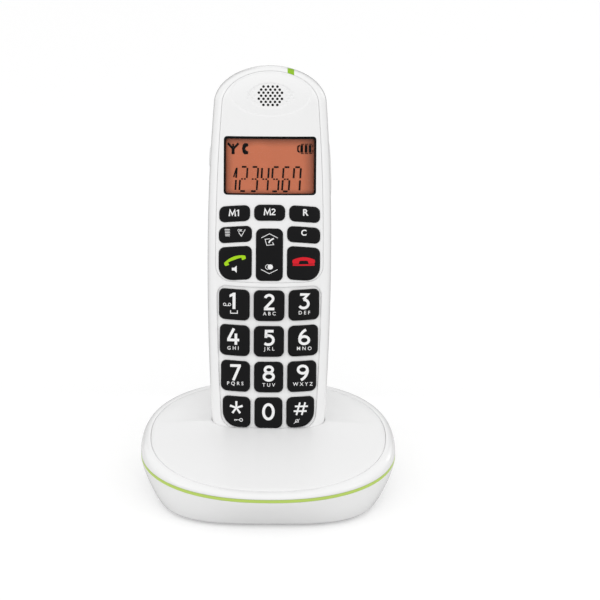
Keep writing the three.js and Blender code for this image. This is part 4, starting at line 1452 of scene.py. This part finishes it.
def function_legends():
    for name, text in (("key_m1", "1"), ("key_m2", "2")):
        u, v, _, _, bow = keys[name]
        v += bow * u * u + 0.45
        parts = [moved(figure("M", 2.85), u - 0.95, v), moved(figure(text, 2.7), u + 1.55, v)]
        print_on_key(name + "_legend", name, parts, legend_white)
    for name, text, height, shift, lift_up in (
        ("key_recall", "R", 2.75, 0.45, 0.8), ("key_clear", "C", 2.4, 0.05, 1.0)
    ):
        u, v, _, _, bow = keys[name]
        word = lettering(text, height, 0.09)
        parts = [moved(word, u + shift, v + bow * u * u + lift_up)]
        print_on_key(name + "_legend", name, parts, legend_white)
    u, v, _, _, bow = keys["key_menu"]
    v += bow * u * u + 0.75
    parts = [
        stroke([(u - 4.4 + 0.06 * i, v + 1.35 - 0.66 * i), (u - 2.3, v + 1.35 - 0.66 * i)], 0.27)
        for i in range(5)
    ]
    parts.append(moved(lettering("OK", 1.0, 0.03), u + 1.95, v + 1.05))
    parts.append(stroke([(u + 1.4, v + 0.2), (u + 2.45, v - 1.35), (u + 4.05, v + 1.45)], 0.26))
    print_on_key("key_menu_legend", "key_menu", parts, legend_white)
    u, v, _, _, bow = keys["key_navigation"]
    parts = [
        stroke([(-3.4, v + 7.05), (0, v + 8.8), (3.4, v + 7.05)], 0.26),
        stroke([(-3.4, v - 6.0), (0, v - 7.75), (3.4, v - 6.0)], 0.26),
    ]
    parts.append(
        stroke([(0.2, v + 6.75), (-1.85, v + 6.5), (-1.1, v + 4.0), (1.75, v + 4.3), (1.2, v + 5.35)], 0.26)
    )
    parts.append(stroke([(-0.3, v + 5.0), (0.15, v + 5.8), (0.95, v + 6.45), (1.75, v + 6.85)], 0.62))
    parts += [ring(-0.65, v - 4.95, 0.95, 0.22), disc(0.4, v - 4.95, 1.08)]
    print_on_key("key_navigation_legend", "key_navigation", parts, legend_white)
    u, v, _, _, bow = keys["key_talk"]
    v += bow * u * u
    sign = moved(handset_sign(9.2, 1.15, 1.35, (0.85, 0.62)), u - 0.3, v + 1.75, math.radians(21))
    print_on_key("key_talk_sign", "key_talk", [sign], legend_green)
    horn = [
        (u - 1.35, v - 2.9),
        (u - 0.35, v - 2.9),
        (u + 0.65, v - 3.85),
        (u + 0.65, v - 0.85),
        (u - 0.35, v - 1.75),
        (u - 1.35, v - 1.75),
    ]
    print_on_key("key_talk_speaker", "key_talk", [filled(horn)], legend_white)
    u, v, _, _, bow = keys["key_end"]
    v += bow * u * u
    sign = moved(handset_sign(9.2, 1.15, 1.45, (0.5, 0.45)), u + 0.05, v + 1.65)
    rest = stroke([(u - 4.45, v - 0.45), (u + 4.55, v - 0.45)], 0.62)
    print_on_key("key_end_sign", "key_end", [sign, rest], legend_red)


# ---- Display ----
lens_low = 1.1  # the window's inner face below its outer face


def window_frame():
    """The black border printed round the window."""
    bm = bmesh.new()

    def inner(grow):
        width, height = window_width - 1.8 + 2 * grow, window_height - 1.7 + 2 * grow
        return dense(rounded(0, window_at - 0.2, width, height, [0.9 + grow] * 4, 6), 1.5)

    edges = [(window_outline, [(-0.02, 0), (-0.02, 0.9)]), (inner, [(0, 0), (0.1, 0.5)])]
    plate(bm, edges, lambda u, v: face(u, v) - 0.45, on_handset, 2.0)
    return finished("display_border", bm, frame_black, "handset")


def window_pane():
    bm = bmesh.new()
    plate(
        bm,
        [(window_outline, eased(-0.05, 0.12, 0.4))],
        lambda u, v: face(u, v) - 0.02,
        on_handset,
        1.5,
        floor=0.4,
    )
    return finished("display_lens_pane", bm, clear, "handset", ["display_lens"])


def display_face():
    bm = bmesh.new()
    painted_shade_and_reflection = bm.verts.layers.float.new("edge")
    bmesh.ops.create_grid(bm, x_segments=96, y_segments=64, size=0.5)
    half_w, half_h = window_width / 2, window_height / 2
    for v in bm.verts:
        u, y = v.co.x * 2 * half_w, v.co.y * 2 * half_h
        # Painted shade: the amber is darkened towards each edge of the window, most at the top and right,
        # where the recess walls shade it.
        light = 1.0
        for reach, width, dark in (
            (half_w - u, 6.5, 0.3), (half_w + u, 4.8, 0.42), (half_h - y, 5.0, 0.2), (half_h + y, 2.8, 0.45)
        ):
            light *= dark + (1 - dark) * smooth(reach / width)
        # Painted reflection: the exp term lays a faint lighter diagonal band across the upper middle of the
        # display.
        v[painted_shade_and_reflection] = light * (
            0.92 + 0.12 * math.exp(-(((u + 2.5 + 0.25 * y) / 3.2) ** 2)) * smooth((y + 4) / 10)
        )
        v.co = on_handset(u, window_at + y, face(u, window_at + y) - lens_low)
    return finished("lcd_glass_face", bm, amber, "handset")


segments = {
    "1": "bc", "2": "abged", "3": "abgcd", "4": "fgbc", "5": "afgcd", "6": "afgedc", "7": "fabc",
}


def segment_lines(text, x, y):
    """The lit bars of one figure, with the middle bar in two short pieces."""
    width, height, slant = 2.75, 10.0, 0.06
    corners = {
        "a": ((-0.5, 1), (0.5, 1)), "g": ((-0.5, 0), (0.5, 0)), "d": ((-0.5, -1), (0.5, -1)),
        "f": ((-0.5, 1), (-0.5, 0)), "b": ((0.5, 1), (0.5, 0)),
        "e": ((-0.5, 0), (-0.5, -1)), "c": ((0.5, 0), (0.5, -1)),
    }
    parts = []
    for name in segments[text]:
        ends = []
        for sx, sy in corners[name]:
            ends.append(Vector((x + sx * width + sy * height / 2 * slant, y + sy * height / 2)))
        trim = (ends[1] - ends[0]).normalized() * 0.42
        first, last = ends[0] + trim, ends[1] - trim
        if name == "g":
            middle = (first + last) / 2
            parts += [stroke([first, middle - trim * 0.5], 0.6), stroke([middle + trim * 0.5, last], 0.6)]
        else:
            parts.append(stroke([first, last], 0.74))
    return parts


def display_print():
    parts = []
    for i, text in enumerate("1234567"):
        parts += segment_lines(text, -2.1 + 4.4 * (i - 3), 115.1)
    parts.append(stroke([(-14.95, 115.8), (-13.85, 119.3)], 0.55))
    parts += [stroke([(-15.2, 125.3), (-15.2, 128.2)], 1.2), stroke([(-15.2, 127.4), (-17.4, 129.8)], 0.9)]
    parts += [stroke([(-15.2, 127.4), (-13.0, 129.8)], 0.9), stroke([(-15.2, 127.6), (-15.2, 129.5)], 0.7)]
    handset = [(2.2, 4.3), (0.9, 4.4), (0.3, 3.7), (0.0, 2.2), (0.3, 0.7), (0.9, 0.0), (2.2, 0.1)]
    handset += [(2.3, 1.2), (1.5, 1.5), (1.15, 2.2), (1.5, 2.9), (2.3, 3.2)]
    parts.append(moved(filled([(x * 1.12, y * 1.06) for x, y in handset]), -11.55, 125.25))
    parts += [stroke([(x, 129.55), (x + 1.25, 129.55)], 0.36) for x in (12.7, 14.4, 16.1)]
    parts += [stroke([(x, 125.75), (x + 1.25, 125.75)], 0.36) for x in (12.7, 14.4, 16.1)]
    parts += [stroke([(17.6, 129.3), (17.6, 128.2)], 0.34), stroke([(17.6, 127.2), (17.6, 126.1)], 0.34)]
    parts += [stroke([(12.2, 129.1), (11.45, 128.5), (11.45, 126.8), (12.2, 126.2)], 0.62)]
    parts += [stroke([(x, 129.2), (x, 126.1)], 1.1) for x in (13.05, 14.8, 16.45)]
    height_of = lambda u, v: face(u, v) - lens_low + 0.03
    print_on("lcd_segments", parts, height_of, "handset", frame_black, 0.04)


# ---- The whole telephone ----
lower_shell()
trim_ring()
rim_shell()
deck()
page_button()
front_shell()
fascia()
ear_mesh()
rear_shell()
parting_lip()
battery_cover()
side_button("volume_rocker", 1, 118.7, 24.4)
side_button("boost_button", -1, 123.7, 9.6)
light_pipe()
for key in keys:
    key_cap(key)
key_legends()
function_legends()
window_frame()
window_pane()
display_face()
display_print()

carried = {
    board_green: ["base_circuit_board", "handset_circuit_board"],
    socket_black: ["line_socket", "power_socket", "earpiece_receiver", "loudspeaker", "microphone"],
    plated_steel: [
        "base_screw_left",
        "base_screw_right",
        "handset_screw_left",
        "handset_screw_right",
        "battery_spring_left",
        "battery_spring_right",
        "battery_link_plate",
    ],
    plated_gold: ["charging_pad_left", "charging_pad_right", "charging_pin_left", "charging_pin_right"],
    cell_wrap: ["battery_cell_left", "battery_cell_right"],
    foot_rubber: ["foot_front_left", "foot_front_right", "foot_rear_left", "foot_rear_right"],
    mat_grey: ["keypad_mat"],
    amber: ["lcd_glass", "lcd_backlight"],
}
for material, nodes in carried.items():
    for node in nodes:
        mesh = bpy.data.objects[node].data
        mesh.materials.clear()
        mesh.materials.append(material)


# ---- Studio ----
def floor_paint():
    """White, and a little brighter where the lens sees it than where it lights the object."""
    material = finish_of("floor_white", (0.62, 0.62, 0.62), 0.75, 0.0, 0.02, Emission_Color=(1, 1, 1, 1))
    tree = material.node_tree
    path = tree.nodes.new("ShaderNodeLightPath")
    lift_up = tree.nodes.new("ShaderNodeMath")
    lift_up.operation = "MULTIPLY"
    lift_up.inputs[1].default_value = 0.39
    tree.links.new(path.outputs["Is Camera Ray"], lift_up.inputs[0])
    tree.links.new(lift_up.outputs[0], tree.nodes["Principled BSDF"].inputs["Emission Strength"])
    return material


floor_bm = bmesh.new()
bmesh.ops.create_grid(floor_bm, x_segments=2, y_segments=2, size=6.0)
floor_mesh = bpy.data.meshes.new("floor")
floor_bm.to_mesh(floor_mesh)
floor_bm.free()
floor = bpy.data.objects.new("floor", floor_mesh)
bpy.context.scene.collection.objects.link(floor)
floor_mesh.materials.append(floor_paint())

world = bpy.data.worlds.new("studio")
bpy.context.scene.world = world
world.use_nodes = True
world.node_tree.nodes["Background"].inputs["Color"].default_value = (1, 1, 1, 1)
world.node_tree.nodes["Background"].inputs["Strength"].default_value = 0.9
bpy.context.scene.view_settings.view_transform = "Standard"
bpy.context.scene.view_settings.look = "None"


def aimed(name, light, place, aim):
    lamp = bpy.data.objects.new(name, light)
    lamp.location = place
    lamp.rotation_euler = (Vector(aim) - Vector(place)).to_track_quat("-Z", "Y").to_euler()
    bpy.context.scene.collection.objects.link(lamp)
    return lamp


def broad_light(name, place, strength, spread_degrees):
    """An even light from far away."""
    light = bpy.data.lights.new(name, "SUN")
    light.energy = strength
    light.angle = math.radians(spread_degrees)
    aimed(name, light, place, (0, 0, 0)).visible_glossy = False


def softbox(name, place, aim, width, height, power):
    light = bpy.data.lights.new(name, "AREA")
    light.shape = "RECTANGLE"
    light.size = width
    light.size_y = height
    light.energy = power
    aimed(name, light, place, aim)


def dark_card(name, matrix):
    """A dark card behind the object that is seen only in its reflections, where it draws the edges."""
    bm = bmesh.new()
    bmesh.ops.create_grid(bm, x_segments=2, y_segments=2, size=0.5, matrix=matrix)
    mesh = bpy.data.meshes.new(name)
    bm.to_mesh(mesh)
    bm.free()
    card = bpy.data.objects.new(name, mesh)
    bpy.context.scene.collection.objects.link(card)
    mesh.materials.append(card_black)
    card.visible_camera = card.visible_diffuse = card.visible_shadow = False


card_black = finish_of("card_black", (0.02, 0.02, 0.02), 0.9, 0.01)
for name, x in (("left_card", -0.33), ("right_card", 0.33)):
    facing = Matrix.Rotation(-math.atan2(x, 0.74), 4, "Z") @ Matrix.Rotation(math.pi / 2, 4, "X")
    dark_card(name, Matrix.Translation((x, 0.74, 0.3)) @ facing @ Matrix.Diagonal((0.5, 0.6, 1, 1)))
dark_card("back_card", Matrix.Translation((0, 0.4, 0.001)) @ Matrix.Diagonal((1.2, 0.66, 1, 1)))
softbox("edge_glint", (0.95, 0.7, 0.3), (0.04, 0, 0.02), 0.16, 0.4, 0.5)
broad_light("front_light", (0, -0.75, 0.6), 0.36, 120)
softbox("left_light", (-1.0, -0.35, 0.5), (0, 0, 0.06), 0.5, 0.8, 1.45)
softbox("right_light", (1.0, -0.4, 0.55), (0, 0, 0.06), 0.45, 0.8, 1.25)

camera_data = bpy.data.cameras.new("camera")
camera_data.sensor_width = 36
camera_data.lens = 216.05
elevation, azimuth, roll = (math.radians(angle) for angle in (24.34, -0.13, 0.405))
distance = 1.4767
image_side = 600
aim = Vector((0, -0.0008, 0.08))
level = math.cos(elevation)
away = Vector((math.sin(azimuth) * level, -math.cos(azimuth) * level, math.sin(elevation)))
camera_data.shift_x = 30.8 / image_side
camera_data.shift_y = -3.57 / image_side
camera_data.clip_start = 0.05
camera_data.clip_end = 50
camera = bpy.data.objects.new("camera", camera_data)
camera.location = aim + away * distance
camera.rotation_mode = "QUATERNION"
turn = (-away).to_track_quat("-Z", "Y")
camera.rotation_quaternion = turn @ Matrix.Rotation(roll, 3, "Z").to_quaternion()
bpy.context.scene.collection.objects.link(camera)
bpy.context.scene.camera = camera
